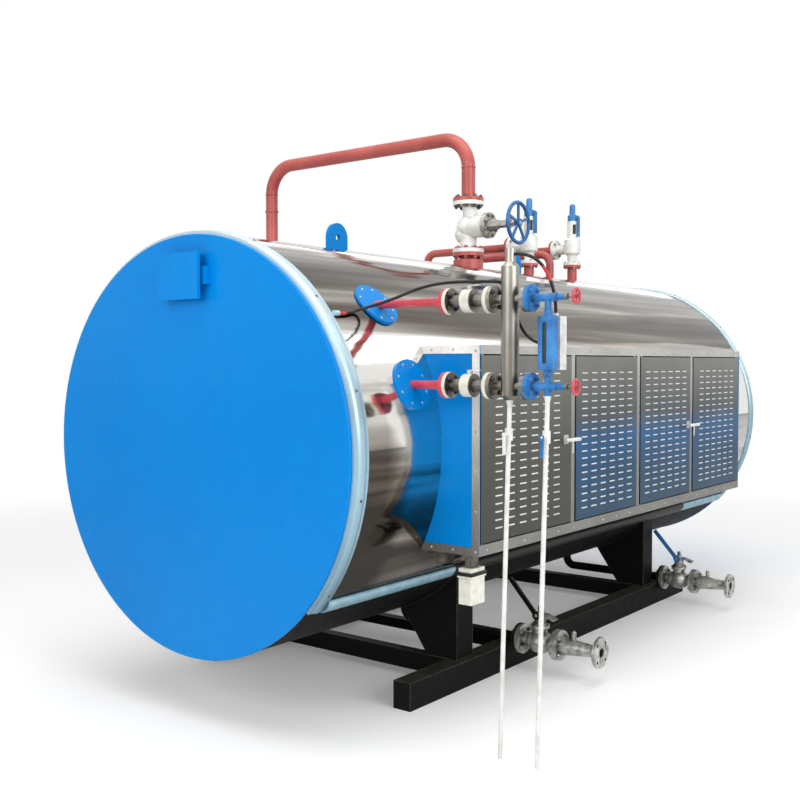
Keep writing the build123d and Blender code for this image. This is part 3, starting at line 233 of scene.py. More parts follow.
# polished cladding sheet: mirror bright, with painted reflections as long soft bands along the drum, and
# painted shade darker towards the floor
def makeCladding():
    finish = {"bandMm": 210, "alongMm": 4200, "fineMm": 26, "waveMm": 520, "rippleMm": 150,
              "shift": (0.6, 0.0, -0.25), "lowZ": -0.65, "highZ": 1.0, "lean": (-0.4, 0.6),
              "reflectionShades": [(0.02, 0.03), (0.14, 0.10), (0.30, 0.28), (0.42, 0.42), (0.64, 0.43), (0.77, 0.24),
                         (0.85, 0.31), (0.97, 0.37)],
              "tones": [(0.28, "#37312a"), (0.41, "#645d53"), (0.49, "#88817a"), (0.56, "#b0aba4"),
                        (0.64, "#e6e4df")],
              "reflectionLift": 0.24, "reflectionLiftFromY": 0.24, "reflectionLiftToY": 0.42, "reflectionLiftFromZ": 0.45, "reflectionLiftToZ": 0.2}
    material, tree, coords = startMaterial("polished stainless cladding")
    stretch = finish["bandMm"] / finish["alongMm"]
    drawn = addNode(tree, "Mapping", {"Scale": (1.0, stretch, 1.0), "Location": finish["shift"]},
                    {"Vector": coords})
    # painted reflections: soft bands stretched along the drum
    band = addNode(tree, "TexNoise", {"Scale": perMetre(finish["bandMm"]), "Detail": 3.0, "Roughness": 0.5,
                                      "Distortion": 0.5}, {"Vector": drawn.outputs[0]})
    parts = addNode(tree, "SeparateXYZ", None, {0: coords})
    height = addNode(tree, "MapRange", {"From Min": drum["axis"] + finish["lowZ"],
                                        "From Max": drum["axis"] + finish["highZ"]},
                     {"Value": parts.outputs["Z"]})
    # painted shade and reflection by height: dark low down, lighter and darker bands above
    reflectionShade = addNode(tree, "ValToRGB", {"stops": finish["reflectionShades"]}, {"Fac": height.outputs[0]})
    lean = addNode(tree, "MapRange", {"To Min": finish["lean"][0], "To Max": finish["lean"][1]},
                   {"Value": reflectionShade.outputs[0]})
    reflectionStreaks = addNode(tree, "Math", {"operation": "ADD"}, {0: band.outputs[0], 1: lean.outputs[0]})
    # painted reflection: brighter low down beside the cabinet, so that the blue panel's reflection shows
    # clearly in it
    along = addNode(tree, "MapRange", {"From Min": drum["front"] + finish["reflectionLiftFromY"],
                                       "From Max": drum["front"] + finish["reflectionLiftToY"],
                                       "To Max": finish["reflectionLift"]}, {"Value": parts.outputs["Y"]})
    below = addNode(tree, "MapRange", {"From Min": drum["axis"] + finish["reflectionLiftFromZ"],
                                       "From Max": drum["axis"] + finish["reflectionLiftToZ"]},
                    {"Value": parts.outputs["Z"]})
    reflectionLift = addNode(tree, "Math", {"operation": "MULTIPLY"}, {0: along.outputs[0], 1: below.outputs[0]})
    level = addNode(tree, "Math", {"operation": "ADD"}, {0: reflectionStreaks.outputs[0], 1: reflectionLift.outputs[0]})
    tone = addNode(tree, "ValToRGB", {"stops": finish["tones"]}, {"Fac": level.outputs[0]})
    fine = addNode(tree, "TexNoise", {"Scale": perMetre(finish["fineMm"]), "Detail": 3.0},
                   {"Vector": drawn.outputs[0]})
    rough = addNode(tree, "MapRange", {"To Min": 0.05, "To Max": 0.14}, {"Value": fine.outputs[0]})
    wave = addNode(tree, "TexNoise", {"Scale": perMetre(finish["waveMm"]), "Detail": 1.0}, {"Vector": coords})
    sway = addNode(tree, "Bump", {"Strength": 0.4, "Distance": 0.008}, {"Height": wave.outputs[0]})
    # ripples left by the rolls run along the drum and break the reflections into streaks
    ripple = addNode(tree, "TexNoise", {"Scale": perMetre(finish["rippleMm"]), "Detail": 1.5},
                     {"Vector": drawn.outputs[0]})
    bump = addNode(tree, "Bump", {"Strength": 0.9, "Distance": 0.014},
                   {"Height": ripple.outputs[0], "Normal": sway.outputs[0]})
    endMaterial(tree, {"Metallic": 1.0},
                {"Base Color": tone.outputs[0], "Roughness": rough.outputs[0], "Normal": bump.outputs[0]})
    return material


# ground metal sheet: fine lines one way, a cloudy tone, with painted shade: darker towards the floor, lighter
# towards the top
def makeSheet(name, finish):
    material, tree, coords = startMaterial(name)
    lines = addNode(tree, "Mapping", {"Scale": finish["lines"]}, {"Vector": coords})
    grain = addNode(tree, "TexNoise", {"Scale": 1.0, "Detail": 4.0, "Roughness": 0.65},
                    {"Vector": lines.outputs[0]})
    cloud = addNode(tree, "TexNoise", {"Scale": perMetre(finish["cloudMm"]), "Detail": 3.0},
                    {"Vector": coords})
    parts = addNode(tree, "SeparateXYZ", None, {0: coords})
    # painted shade and highlight by height, from lowZ up to highZ
    low = addNode(tree, "MapRange", {"From Min": finish["lowZ"], "From Max": finish["highZ"]},
                  {"Value": parts.outputs["Z"]})
    heightShade = addNode(tree, "ValToRGB", {"stops": finish["tones"]}, {"Fac": low.outputs[0]})
    patch = addNode(tree, "ValToRGB", {"stops": [(0.30, 0.72), (0.70, 1.0)]}, {"Fac": cloud.outputs[0]})
    tinted = addNode(tree, "MixRGB", {"blend_type": "MULTIPLY", "Fac": 0.8},
                     {"Color1": heightShade.outputs[0], "Color2": patch.outputs[0]})
    fine = addNode(tree, "ValToRGB", {"stops": [(0.25, 0.78), (0.75, 1.0)]}, {"Fac": grain.outputs[0]})
    colour = addNode(tree, "MixRGB", {"blend_type": "MULTIPLY", "Fac": finish["grain"]},
                     {"Color1": tinted.outputs[0], "Color2": fine.outputs[0]})
    rough = addNode(tree, "MapRange", {"To Min": finish["rough"] - 0.06, "To Max": finish["rough"] + 0.10},
                    {"Value": grain.outputs[0]})
    bump = addNode(tree, "Bump", {"Strength": finish["grain"] * 0.15, "Distance": 0.001},
                   {"Height": grain.outputs[0]})
    endMaterial(tree, {"Metallic": finish["metallic"]},
                {"Base Color": colour.outputs[0], "Roughness": rough.outputs[0], "Normal": bump.outputs[0]})
    return material


cladding = makeCladding()
# ground lines are under 0.5 mm apart, drawn about 2 mm apart so that they show
# heights over which the cabinet sheets go from painted shade at the bottom to painted highlight at the top
cabinetShadeSpan = {"lowZ": 0.85, "highZ": 1.75}
doorGrain = {"lines": (perMetre(2), perMetre(120), perMetre(2)), "cloudMm": 500, "rough": 0.30,
             "metallic": 0.9, "grain": 0.5, **cabinetShadeSpan}
# front door: plain grey, with the lines running along the cabinet, painted darker towards the bottom as shade
doorSheet = makeSheet("ground stainless door sheet", {
    **doorGrain, "tones": [(0.0, "#56564f"), (0.5, "#6d6d66"), (1.0, "#94948d")]})
# the other doors: a painted blue reflection in their lower half, and painted shade towards the bottom
doorSheetBlueReflection = makeSheet("ground stainless door sheet with painted blue reflection", {
    **doorGrain, "tones": [(0.0, "#3c5c75"), (0.30, "#3a668c"), (0.50, "#3d76ab"), (0.64, "#6b7072"),
                           (1.0, "#918f88")]})
# frame and rails: paler than the doors, hardly any grain, painted lighter towards the top
frameSheet = makeSheet("bright stainless strip", {
    "lines": (perMetre(2), perMetre(90), perMetre(2)), "cloudMm": 300, "rough": 0.26, "metallic": 0.75,
    "grain": 0.2, **cabinetShadeSpan, "tones": [(0.0, "#94938f"), (0.5, "#abaaa6"), (1.0, "#c8c7c3")]})
# edging of the end panels: a painted highlight, nearly white at the top, with painted shade low down
endTrimSheet = makeSheet("bright folded stainless edging", {
    "lines": (perMetre(2), perMetre(2), perMetre(90)), "cloudMm": 250, "rough": 0.24, "metallic": 0.5,
    "grain": 0.2, **cabinetShadeSpan, "tones": [(0.0, "#8d8780"), (0.4, "#c9c8c4"), (1.0, "#f2f1ee")]})
# edge trims: icy blue, from the film left on the sheet, painted lighter towards the top
trimSheet = makeSheet("filmed aluminium trim", {
    "lines": (perMetre(3), perMetre(60), perMetre(3)), "cloudMm": 350, "lowZ": 0.4, "highZ": 2.3,
    "rough": 0.34, "metallic": 0.6, "grain": 0.3,
    "tones": [(0.0, "#7fa3b5"), (0.35, "#9dbfce"), (0.70, "#bbd6e0"), (1.0, "#cde2e9")]})
# water column: fine rings from the lathe, a painted highlight lighter towards the top
columnSteel = makeSheet("turned column steel", {
    "lines": (perMetre(60), perMetre(60), perMetre(2)), "cloudMm": 120, "lowZ": 1.5, "highZ": 2.2,
    "rough": 0.32, "metallic": 0.95, "grain": 0.5,
    "tones": [(0.0, "#858177"), (0.5, "#959189"), (1.0, "#aca89f")]})


# cast and plated steel: grainy, cloudy in tone, with painted shade darkening the hollows
def makeCasting(name, finish):
    material, tree, coords = startMaterial(name)
    sand = addNode(tree, "TexNoise",
                   {"Scale": perMetre(finish["grainMm"]), "Detail": 6.0, "Roughness": 0.7},
                   {"Vector": coords})
    cloud = addNode(tree, "TexNoise", {"Scale": perMetre(finish["cloudMm"]), "Detail": 4.0},
                    {"Vector": coords})
    tone = addNode(tree, "ValToRGB", {"stops": finish["tones"]}, {"Fac": cloud.outputs[0]})
    # painted shade: darker where the surface is closed in by nearby parts
    hollow = addNode(tree, "AmbientOcclusion", {"Distance": 0.05, "samples": 4})
    hollowShade = addNode(tree, "ValToRGB", {"stops": [(0.45, finish["hollowShade"]), (0.92, 0.0)]},
                    {"Fac": hollow.outputs["AO"]})
    colour = addNode(tree, "MixRGB", {"Color2": hexLinear(finish["hollowShadeColour"])},
                     {"Fac": hollowShade.outputs[0], "Color1": tone.outputs[0]})
    rough = addNode(tree, "MapRange", {"To Min": finish["rough"] - 0.08, "To Max": finish["rough"] + 0.15},
                    {"Value": sand.outputs[0]})
    bump = addNode(tree, "Bump", {"Strength": finish["bump"], "Distance": 0.0015},
                   {"Height": sand.outputs[0]})
    endMaterial(tree, {"Metallic": finish["metallic"]},
                {"Base Color": colour.outputs[0], "Roughness": rough.outputs[0], "Normal": bump.outputs[0]})
    return material


# blowdown valves: patchy silver, painted shade black in the corners
silverCasting = makeCasting("aluminium-painted steel casting", {
    "grainMm": 5, "cloudMm": 40, "tones": [(0.32, "#85857f"), (0.66, "#dcdcd6")], "hollowShade": 0.9,
    "hollowShadeColour": "#262522", "rough": 0.34, "bump": 0.45, "metallic": 0.8})
# newer bolts and rivets: pale grey
zincSteel = makeCasting("zinc-plated fasteners", {
    "grainMm": 6, "cloudMm": 30, "tones": [(0.3, "#918f88"), (0.7, "#c6c4bc")], "hollowShade": 0.7,
    "hollowShadeColour": "#45423c", "rough": 0.32, "bump": 0.15, "metallic": 0.8})
# older bolts: dark brown-grey
darkZinc = makeCasting("weathered steel fasteners", {
    "grainMm": 5, "cloudMm": 24, "tones": [(0.3, "#47443e"), (0.7, "#78746b")], "hollowShade": 0.7,
    "hollowShadeColour": "#1f1d1a", "rough": 0.40, "bump": 0.2, "metallic": 0.8})
# door handles and stem levers: smooth and almost white
platedSteel = makeCasting("plated handle steel", {
    "grainMm": 8, "cloudMm": 40, "tones": [(0.3, "#d3d3cf"), (0.7, "#f0f0ed")], "hollowShade": 0.5,
    "hollowShadeColour": "#55534e", "rough": 0.20, "bump": 0.05, "metallic": 0.4})
# lips of the air slots: pale dashes on the doors, painted paler than the door sheet as a highlight
louvreLipHighlight = makeCasting("punched lips with painted highlight", {
    "grainMm": 12, "cloudMm": 200, "tones": [(0.3, "#bcc4c7"), (0.7, "#dbe1e3")], "hollowShade": 0.25,
    "hollowShadeColour": "#6c6b66", "rough": 0.35, "bump": 0.05, "metallic": 0.3})


# brushed black paint on structural steel, dusty on whatever faces up and rubbed pale along its edges
def makeSkidPaint():
    finish = {"dustMm": 70, "chipMm": 22, "grainMm": 6, "rubMm": 7, "paint": "#090a08", "chip": "#26221d",
              "dust": "#47443c", "rub": "#77736a"}
    material, tree, coords = startMaterial("matt black structural paint")
    flat = addNode(tree, "NewGeometry").outputs["Normal"]
    facing = addNode(tree, "SeparateXYZ", None, {0: flat})
    rounded = addNode(tree, "Bevel", {"samples": 4, "Radius": finish["rubMm"] / 1000})
    match = addNode(tree, "VectorMath", {"operation": "DOT_PRODUCT"}, {0: rounded.outputs[0], 1: flat})
    edge = addNode(tree, "MapRange", {"From Min": 0.985, "From Max": 0.88}, {"Value": match.outputs["Value"]})
    dust = addNode(tree, "TexNoise",
                   {"Scale": perMetre(finish["dustMm"]), "Detail": 6.0, "Roughness": 0.7},
                   {"Vector": coords})
    lying = addNode(tree, "MapRange", {"From Min": 0.4, "From Max": 1.0}, {"Value": facing.outputs["Z"]})
    spread = addNode(tree, "ValToRGB", {"stops": [(0.34, 0.15), (0.66, 0.9)]}, {"Fac": dust.outputs[0]})
    cover = addNode(tree, "Math", {"operation": "MULTIPLY"}, {0: lying.outputs[0], 1: spread.outputs[0]})
    chips = addNode(tree, "TexNoise",
                    {"Scale": perMetre(finish["chipMm"]), "Detail": 8.0, "Roughness": 0.75},
                    {"Vector": coords})
    bare = addNode(tree, "ValToRGB", {"stops": [(0.66, 0.0), (0.72, 0.5)]}, {"Fac": chips.outputs[0]})
    paint = addNode(tree, "MixRGB",
                    {"Color1": hexLinear(finish["paint"]), "Color2": hexLinear(finish["chip"])},
                    {"Fac": bare.outputs[0]})
    dusty = addNode(tree, "MixRGB", {"Color2": hexLinear(finish["dust"])},
                    {"Fac": cover.outputs[0], "Color1": paint.outputs[0]})
    rubbed = addNode(tree, "Math", {"operation": "MULTIPLY"}, {0: edge.outputs[0], 1: spread.outputs[0]})
    colour = addNode(tree, "MixRGB", {"Color2": hexLinear(finish["rub"])},
                     {"Fac": rubbed.outputs[0], "Color1": dusty.outputs[0]})
    rough = addNode(tree, "MapRange", {"To Min": 0.42, "To Max": 0.75}, {"Value": dust.outputs[0]})
    grain = addNode(tree, "TexNoise", {"Scale": perMetre(finish["grainMm"]), "Detail": 3.0},
                    {"Vector": coords})
    bump = addNode(tree, "Bump", {"Strength": 0.25, "Distance": 0.001}, {"Height": grain.outputs[0]})
    endMaterial(tree, {"IOR": 1.4, "Specular IOR Level": 0.2},
                {"Base Color": colour.outputs[0], "Roughness": rough.outputs[0], "Normal": bump.outputs[0]})
    return material


# moulded plastic and rubber: fine sparked texture, handling marks and a little dust
def makeMoulded(name, finish):
    material, tree, coords = startMaterial(name)
    marks = addNode(tree, "TexNoise",
                    {"Scale": perMetre(finish["markMm"]), "Detail": 7.0, "Roughness": 0.7},
                    {"Vector": coords})
    tone = addNode(tree, "ValToRGB", {"stops": [(0.35, finish["dark"]), (0.65, finish["light"])]},
                   {"Fac": marks.outputs[0]})
    rough = addNode(tree, "MapRange", {"To Min": finish["rough"] - 0.06, "To Max": finish["rough"] + 0.12},
                    {"Value": marks.outputs[0]})
    spark = addNode(tree, "TexNoise", {"Scale": perMetre(finish["sparkMm"]), "Detail": 2.0},
                    {"Vector": coords})
    bump = addNode(tree, "Bump", {"Strength": finish["bump"], "Distance": 0.001},
                   {"Height": spark.outputs[0]})
    endMaterial(tree, {"IOR": finish["ior"], "Specular IOR Level": 0.3},
                {"Base Color": tone.outputs[0], "Roughness": rough.outputs[0], "Normal": bump.outputs[0]})
    return material


skidPaint = makeSkidPaint()
# drain tubes: milky white with grey handling marks
tubePlastic = makeMoulded("white polypropylene tube", {
    "dark": "#cfcfc8", "light": "#eeeeea", "markMm": 70, "sparkMm": 6, "rough": 0.36, "bump": 0.1,
    "ior": 1.49})
# gauge lamp: matt pale grey
lampPlastic = makeMoulded("pale grey lamp housing", {
    "dark": "#b9bab6", "light": "#e3e4e1", "markMm": 50, "sparkMm": 3, "rough": 0.42, "bump": 0.15,
    "ior": 1.53})
# strap, and the painted shade of the spring windows: soft black
cableRubber = makeMoulded("black cable rubber", {
    "dark": "#0d0d0d", "light": "#222120", "markMm": 40, "sparkMm": 4, "rough": 0.42, "bump": 0.2,
    "ior": 1.52})


# thick gauge glass over a dark water space: nearly black, with sharp highlights
def makeGlass():
    finish = {"filmMm": 30, "tones": [(0.3, "#05090c"), (0.7, "#16222b")]}
    material, tree, coords = startMaterial("gauge glass")
    film = addNode(tree, "TexNoise", {"Scale": perMetre(finish["filmMm"]), "Detail": 4.0}, {"Vector": coords})
    tone = addNode(tree, "ValToRGB", {"stops": finish["tones"]}, {"Fac": film.outputs[0]})
    rough = addNode(tree, "MapRange", {"To Min": 0.03, "To Max": 0.12}, {"Value": film.outputs[0]})
    endMaterial(tree, {"IOR": 1.52, "Coat Weight": 0.6, "Coat Roughness": 0.03},
                {"Base Color": tone.outputs[0], "Roughness": rough.outputs[0]})
    return material


gaugeGlass = makeGlass()


# one piece in two finishes: the second within the spans given along one axis, painted shade in the hollows of
# both
def makeParted(name, axis, spans, pair):
    finish = {"grainMm": 4, "cloudMm": 45, "hollowMm": 25, "hollowShade": 0.75, "hollowShadeColour": "#37352f"}
    origin = {"X": drum["x"], "Y": drum["front"], "Z": drum["axis"]}[axis]
    material, tree, coords = startMaterial(name)
    parts = addNode(tree, "SeparateXYZ", None, {0: coords})
    sand = addNode(tree, "TexNoise",
                   {"Scale": perMetre(finish["grainMm"]), "Detail": 6.0, "Roughness": 0.7},
                   {"Vector": coords})
    cloud = addNode(tree, "TexNoise", {"Scale": perMetre(finish["cloudMm"]), "Detail": 5.0},
                    {"Vector": coords})
    first, second = [addNode(tree, "ValToRGB", {"stops": part["tones"]}, {"Fac": cloud.outputs[0]})
                     for part in pair]
    share = None
    for low, high in spans:
        after = addNode(tree, "Math", {"operation": "GREATER_THAN", 1: origin + low},
                        {0: parts.outputs[axis]})
        before = addNode(tree, "Math", {"operation": "LESS_THAN", 1: origin + high},
                         {0: parts.outputs[axis]})
        within = addNode(tree, "Math", {"operation": "MULTIPLY"}, {0: after.outputs[0], 1: before.outputs[0]})
        if share is None:
            share = within
        else:
            share = addNode(tree, "Math", {"operation": "MAXIMUM"},
                            {0: share.outputs[0], 1: within.outputs[0]})
    colour = addNode(tree, "MixRGB", None, {"Fac": share.outputs[0], "Color1": first.outputs[0],
                                            "Color2": second.outputs[0]})
    # painted shade: darker where the surface is closed in by nearby parts
    hollow = addNode(tree, "AmbientOcclusion", {"Distance": finish["hollowMm"] / 1000, "samples": 4})
    hollowShade = addNode(tree, "ValToRGB", {"stops": [(0.35, finish["hollowShade"]), (0.85, 0.0)]},
                    {"Fac": hollow.outputs["AO"]})
    shadedHollows = addNode(tree, "MixRGB", {"Color2": hexLinear(finish["hollowShadeColour"])},
                    {"Fac": hollowShade.outputs[0], "Color1": colour.outputs[0]})
    metal = addNode(tree, "MapRange", {"To Min": pair[0]["metallic"], "To Max": pair[1]["metallic"]},
                    {"Value": share.outputs[0]})
    rough = addNode(tree, "MapRange", {"To Min": 0.32, "To Max": 0.52}, {"Value": sand.outputs[0]})
    bump = addNode(tree, "Bump", {"Strength": 0.3, "Distance": 0.001}, {"Height": sand.outputs[0]})
    endMaterial(tree, {"Specular IOR Level": 0.3},
                {"Base Color": shadedHollows.outputs[0], "Roughness": rough.outputs[0],
                 "Metallic": metal.outputs[0], "Normal": bump.outputs[0]})
    return material


creamPaint = {"tones": [(0.3, "#c9c7b8"), (0.7, "#e6e4d8")], "metallic": 0.0}
bareSteel = {"tones": [(0.3, "#57534c"), (0.7, "#96928a")], "metallic": 1.0}
silverPaint = {"tones": [(0.3, "#96948d"), (0.7, "#c6c4bd")], "metallic": 0.6}
whiteBody = {"tones": [(0.3, "#dedfd9"), (0.7, "#f7f7f4")], "metallic": 0.0}
gaugeBlue = {"tones": [(0.3, "#205f9d"), (0.7, "#3c88c8")], "metallic": 0.0}
rubber = {"tones": [(0.3, "#0d0d0d"), (0.7, "#222120")], "metallic": 0.0}
redSleeve = {"tones": [(0.3, "#a81f2b"), (0.7, "#cc3a44")], "metallic": 0.0}
ivory = {"tones": [(0.3, "#d6d4c8"), (0.7, "#f0eee4")], "metallic": 0.0}
trimFilm = {"tones": [(0.3, "#86abbd"), (0.7, "#a6c8d6")], "metallic": 0.6}
cabinetShadowBlack = {"tones": [(0.3, "#0c0d0b"), (0.7, "#211f1b")], "metallic": 0.0}
# where each second finish starts and ends, from the middle of the front cover
partedAt = {"bareValve": [(1.1852, 1.255), (1.301, 1.374)], "bonnet": [(0.139, 0.5)],
            "spindles": [(1.738, 1.9)], "cableSleeve": [(0.735, 0.795)], "leadEnd": [(0.0, 0.185)],
            "underCabinetShadow": [(1.06, 4.0)], "boxStubShade": [(-0.535, 0.0)]}
isolatorPaint = makeParted("cream and bare valve castings", "X", partedAt["bareValve"],
                           [creamPaint, bareSteel])
steamValvePaint = makeParted("white globe valve with bare bonnet", "X", partedAt["bonnet"],
                             [whiteBody, silverPaint])
cockPaint = makeParted("blue gauge cocks with bare spindles", "X", partedAt["spindles"],
                       [gaugeBlue, bareSteel])
sleevedCable = makeParted("black rubber with a red sleeve", "Z", partedAt["cableSleeve"],
                          [rubber, redSleeve])
sleevedLead = makeParted("black rubber with a red end", "Y", partedAt["leadEnd"], [rubber, redSleeve])
# painted shadow: the side trims turn black beyond the cabinet's front, where the cabinet shades them
sideTrimWithShadow = makeParted("filmed trim, black as painted shadow below the cabinet", "Y", partedAt["underCabinetShadow"],
                            [trimFilm, cabinetShadowBlack])
# painted shade: the stub under the cabinet is given dark bare steel to stand for the shade there
boxFinish = makeParted("ivory box on a stub darkened as painted shade", "Z", partedAt["boxStubShade"], [ivory, bareSteel])
print("materials made")

finishes = {
    "vessel_shell": skidPaint, "jacket": cladding, "front_cover": blueEnamel, "rear_cover": blueEnamel,
    "edge_trims": trimSheet, "side_trims": sideTrimWithShadow, "plate_stand": blueEnamel,
    "lifting_lugs": blueEnamel, "top_nozzles": redEnamel, "steam_valve": steamValvePaint,
    "steam_handwheel": navyCast, "steam_pipe": redEnamel, "safety_valves": whitePaint,
    "safety_caps": blueCast, "discharge_pipes": redEnamel, "vent_pipe": redEnamel, "rosettes": blueEnamel,
    "level_pipes": brightRed, "isolating_valves": isolatorPaint, "water_column": columnSteel,
    "gauge_cocks": cockPaint, "gauge_wheel_upper": brightRed, "gauge_wheel_lower": brightRed,
    "level_gauge": blueCast, "sight_glass": gaugeGlass, "gauge_lamp": lampPlastic,
    "level_cable": sleevedCable, "lamp_lead": sleevedLead, "drain_tubes": tubePlastic,
    "drain_lever_column": tubePlastic, "drain_lever_gauge": blueCast, "cabinet_frame": frameSheet,
    "cabinet_front_panel": blueEnamel, "cabinet_rear_panel": blueEnamel, "cabinet_end_trims": endTrimSheet,
    "cabinet_top": frameSheet, "cabinet_floor": frameSheet, "cabinet_door_1": doorSheet,
    "cabinet_door_2": doorSheetBlueReflection, "cabinet_door_3": doorSheetBlueReflection, "cabinet_door_4": doorSheetBlueReflection,
    "door_handle_front": platedSteel, "door_handle_rear": platedSteel, "junction_box": boxFinish,
    "base_rails": skidPaint, "cross_members": skidPaint, "saddles": skidPaint, "blowdown_pipes": skidPaint,
    "blowdown_valves": silverCasting, "blowdown_lever_front": skidPaint, "blowdown_lever_rear": blueCast,
}
for name, node in nodes.items():
    node.data.materials.clear()
    node.data.materials.append(finishes[name])
print("CAD nodes dressed")


def finishPiece(name, shape, body, material, sharp=35):
    mesh = bpy.data.meshes.new(name)
    shape.to_mesh(mesh)
    shape.free()
    for face in mesh.polygons:
        face.use_smooth = True
    mesh.set_sharp_from_angle(angle=radians(sharp))
    mesh.materials.append(material)
    piece = bpy.data.objects.new(name, mesh)
    scene.collection.objects.link(piece)
    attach(piece, body)


def keepPattern(shape, name):
    pattern = bpy.data.meshes.new(name)
    shape.to_mesh(pattern)
    shape.free()
    return pattern


def stamp(shape, pattern, matrix):
    first = len(shape.verts)
    shape.from_mesh(pattern)
    shape.verts.ensure_lookup_table()
    bmesh.ops.transform(shape, matrix=matrix, verts=shape.verts[first:])


def pointed(place, along, turn=0.0):
    return Matrix.Translation(place) @ Vector(along).to_track_quat("Z", "Y").to_matrix().to_4x4() @ \
        Matrix.Rotation(turn, 4, "Z")


def setHead(shape, pattern, size, place, along, turn=0.0):
    # a nut or screw head of the size given, standing on its place
    stamp(shape, pattern, pointed(place, along, turn) @ Matrix.Scale(size, 4))


def edgesOf(verts):
    return list(dict.fromkeys(e for v in verts for e in v.link_edges))


# leads: the route's own points as control points of a smooth spline
leads = {
    "levelCable": {
        "node": "level_cable", "finish": sleevedCable, "diameter": 0.014, "length": 0.343, "points": [
            (1.502, 0.465, 0.850), (1.598, 0.465, 0.850), (1.660, 0.529, 0.707), (1.660, 0.529, 0.603)]},
    "lampLead": {
        "node": "lamp_lead", "finish": sleevedLead, "diameter": 0.014, "length": 1.22, "points": [
            (1.609, 0.529, 0.480), (1.511, 0.529, 0.480), (1.430, 0.525, 0.739), (1.370, 0.465, 0.745),
            (1.080, 0.455, 0.750), (0.8792, 0.400, 0.6724), (0.8006, 0.300, 0.6365),
            (0.8190, 0.196, 0.6126), (0.8190, 0.136, 0.6126)]},
}
for name, lead in leads.items():
    curve = bpy.data.curves.new(name, "CURVE")
    curve.dimensions = "3D"
    curve.bevel_depth = lead["diameter"] / 2
    curve.bevel_resolution = 4
    curve.use_fill_caps = True
    spline = curve.splines.new("NURBS")
    spline.points.add(len(lead["points"]) - 1)
    for point, place in zip(spline.points, lead["points"]):
        point.co = (*spot(*place), 1.0)
    spline.order_u = 3
    spline.use_endpoint_u = True
    spline.resolution_u = 10
    curve.materials.append(lead["finish"])
    cable = bpy.data.objects.new(name, curve)
    scene.collection.objects.link(cable)
    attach(cable, "boiler")
    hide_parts(lead["node"])
print("leads laid")

# hexagon nut on its washer with the stud's end, one unit from the middle to a corner
nut = {"height": 0.86, "washer": 1.16, "washerHeight": 0.16, "stud": 0.52, "studTip": 0.86,
       "studHeight": 1.25, "chamfer": 0.10, "twist": 1.7}
shape = bmesh.new()
bmesh.ops.create_cone(shape, cap_ends=True, segments=20, radius1=nut["washer"], radius2=nut["washer"],
                      depth=nut["washerHeight"], matrix=Matrix.Translation((0, 0, nut["washerHeight"] / 2)))
nutMiddle = nut["washerHeight"] + nut["height"] / 2
bmesh.ops.create_cone(shape, cap_ends=True, segments=6, radius1=1.0, radius2=1.0, depth=nut["height"],
                      matrix=Matrix.Translation((0, 0, nutMiddle)))
rim = [e for e in shape.edges if all(v.co.z > nutMiddle for v in e.verts)]
bmesh.ops.bevel(shape, geom=rim, offset=nut["chamfer"], segments=1, profile=0.5, affect="EDGES", material=-1)
studMiddle = nut["washerHeight"] + (nut["height"] + nut["studHeight"]) / 2
bmesh.ops.create_cone(shape, cap_ends=True, segments=12, radius1=nut["stud"],
                      radius2=nut["stud"] * nut["studTip"], depth=nut["studHeight"] - nut["height"],
                      matrix=Matrix.Translation((0, 0, studMiddle)))
nutPattern = keepPattern(shape, "nutPattern")


def nutRing(shape, flange, along, place):
    # nuts at equal angles round a flange pair, on its front and, where there is one, its back
    turn = pointed(spot(*place), along)
    faces = [(flange["front"], 1)]
    if "back" in flange:
        faces.append((-flange["back"], -1))
    for k in range(flange["count"]):
        angle = 2 * pi * (k + 0.5) / flange["count"]
        across = Vector((cos(angle), sin(angle), 0)) * flange["circle"] / 2
        for face, way in faces:
            seat = turn @ (across + Vector((0, 0, face)))
            setHead(shape, nutPattern, flange["nut"], seat, along * way, angle * nut["twist"])


# bolt circles, nut seats before and behind the joint, and half the nuts' width
flanges = {
    "steam": {"circle": 0.16, "count": 8, "front": 0.024, "back": 0.024, "nut": 0.0135},
    "bonnet": {"circle": 0.134, "count": 8, "front": 0.015, "nut": 0.0105},
    "safetyInlet": {"circle": 0.104, "count": 4, "front": 0.018, "back": 0.018, "nut": 0.0085},
    "safetyOutlet": {"circle": 0.112, "count": 4, "front": 0.018, "back": 0.018, "nut": 0.0095},
    "level": {"circle": 0.085, "count": 4, "front": 0.018, "back": 0.018, "nut": 0.0095},
    "blowdown": {"circle": 0.125, "count": 4, "front": 0.018, "back": 0.018, "nut": 0.0115},
    "blowdownBonnet": {"circle": 0.092, "count": 6, "front": 0.007, "back": 0.007, "nut": 0.0058},
}
upZ, outX = Vector((0, 0, 1)), Vector((1, 0, 0))
steam = {"y": 2.35, "nozzleZ": 1.112, "pipeZ": 1.44, "bonnetX": 0.155, "bonnetZ": 1.276}
safety = {"places": ((3.117, 1.100), (3.752, 1.135)), "outletX": -0.148, "outletRise": 0.124}
level = {"y": 0.465, "zs": (0.665, 0.302), "isolatorXs": (1.168, 1.392), "cockX": 1.572}
blowdown = {"places": ((0.8149, 1.68), (0.7719, 3.70)), "z": -1.128, "length": 0.232, "bonnetX": 0.116,
            "bonnetZ": -1.043}
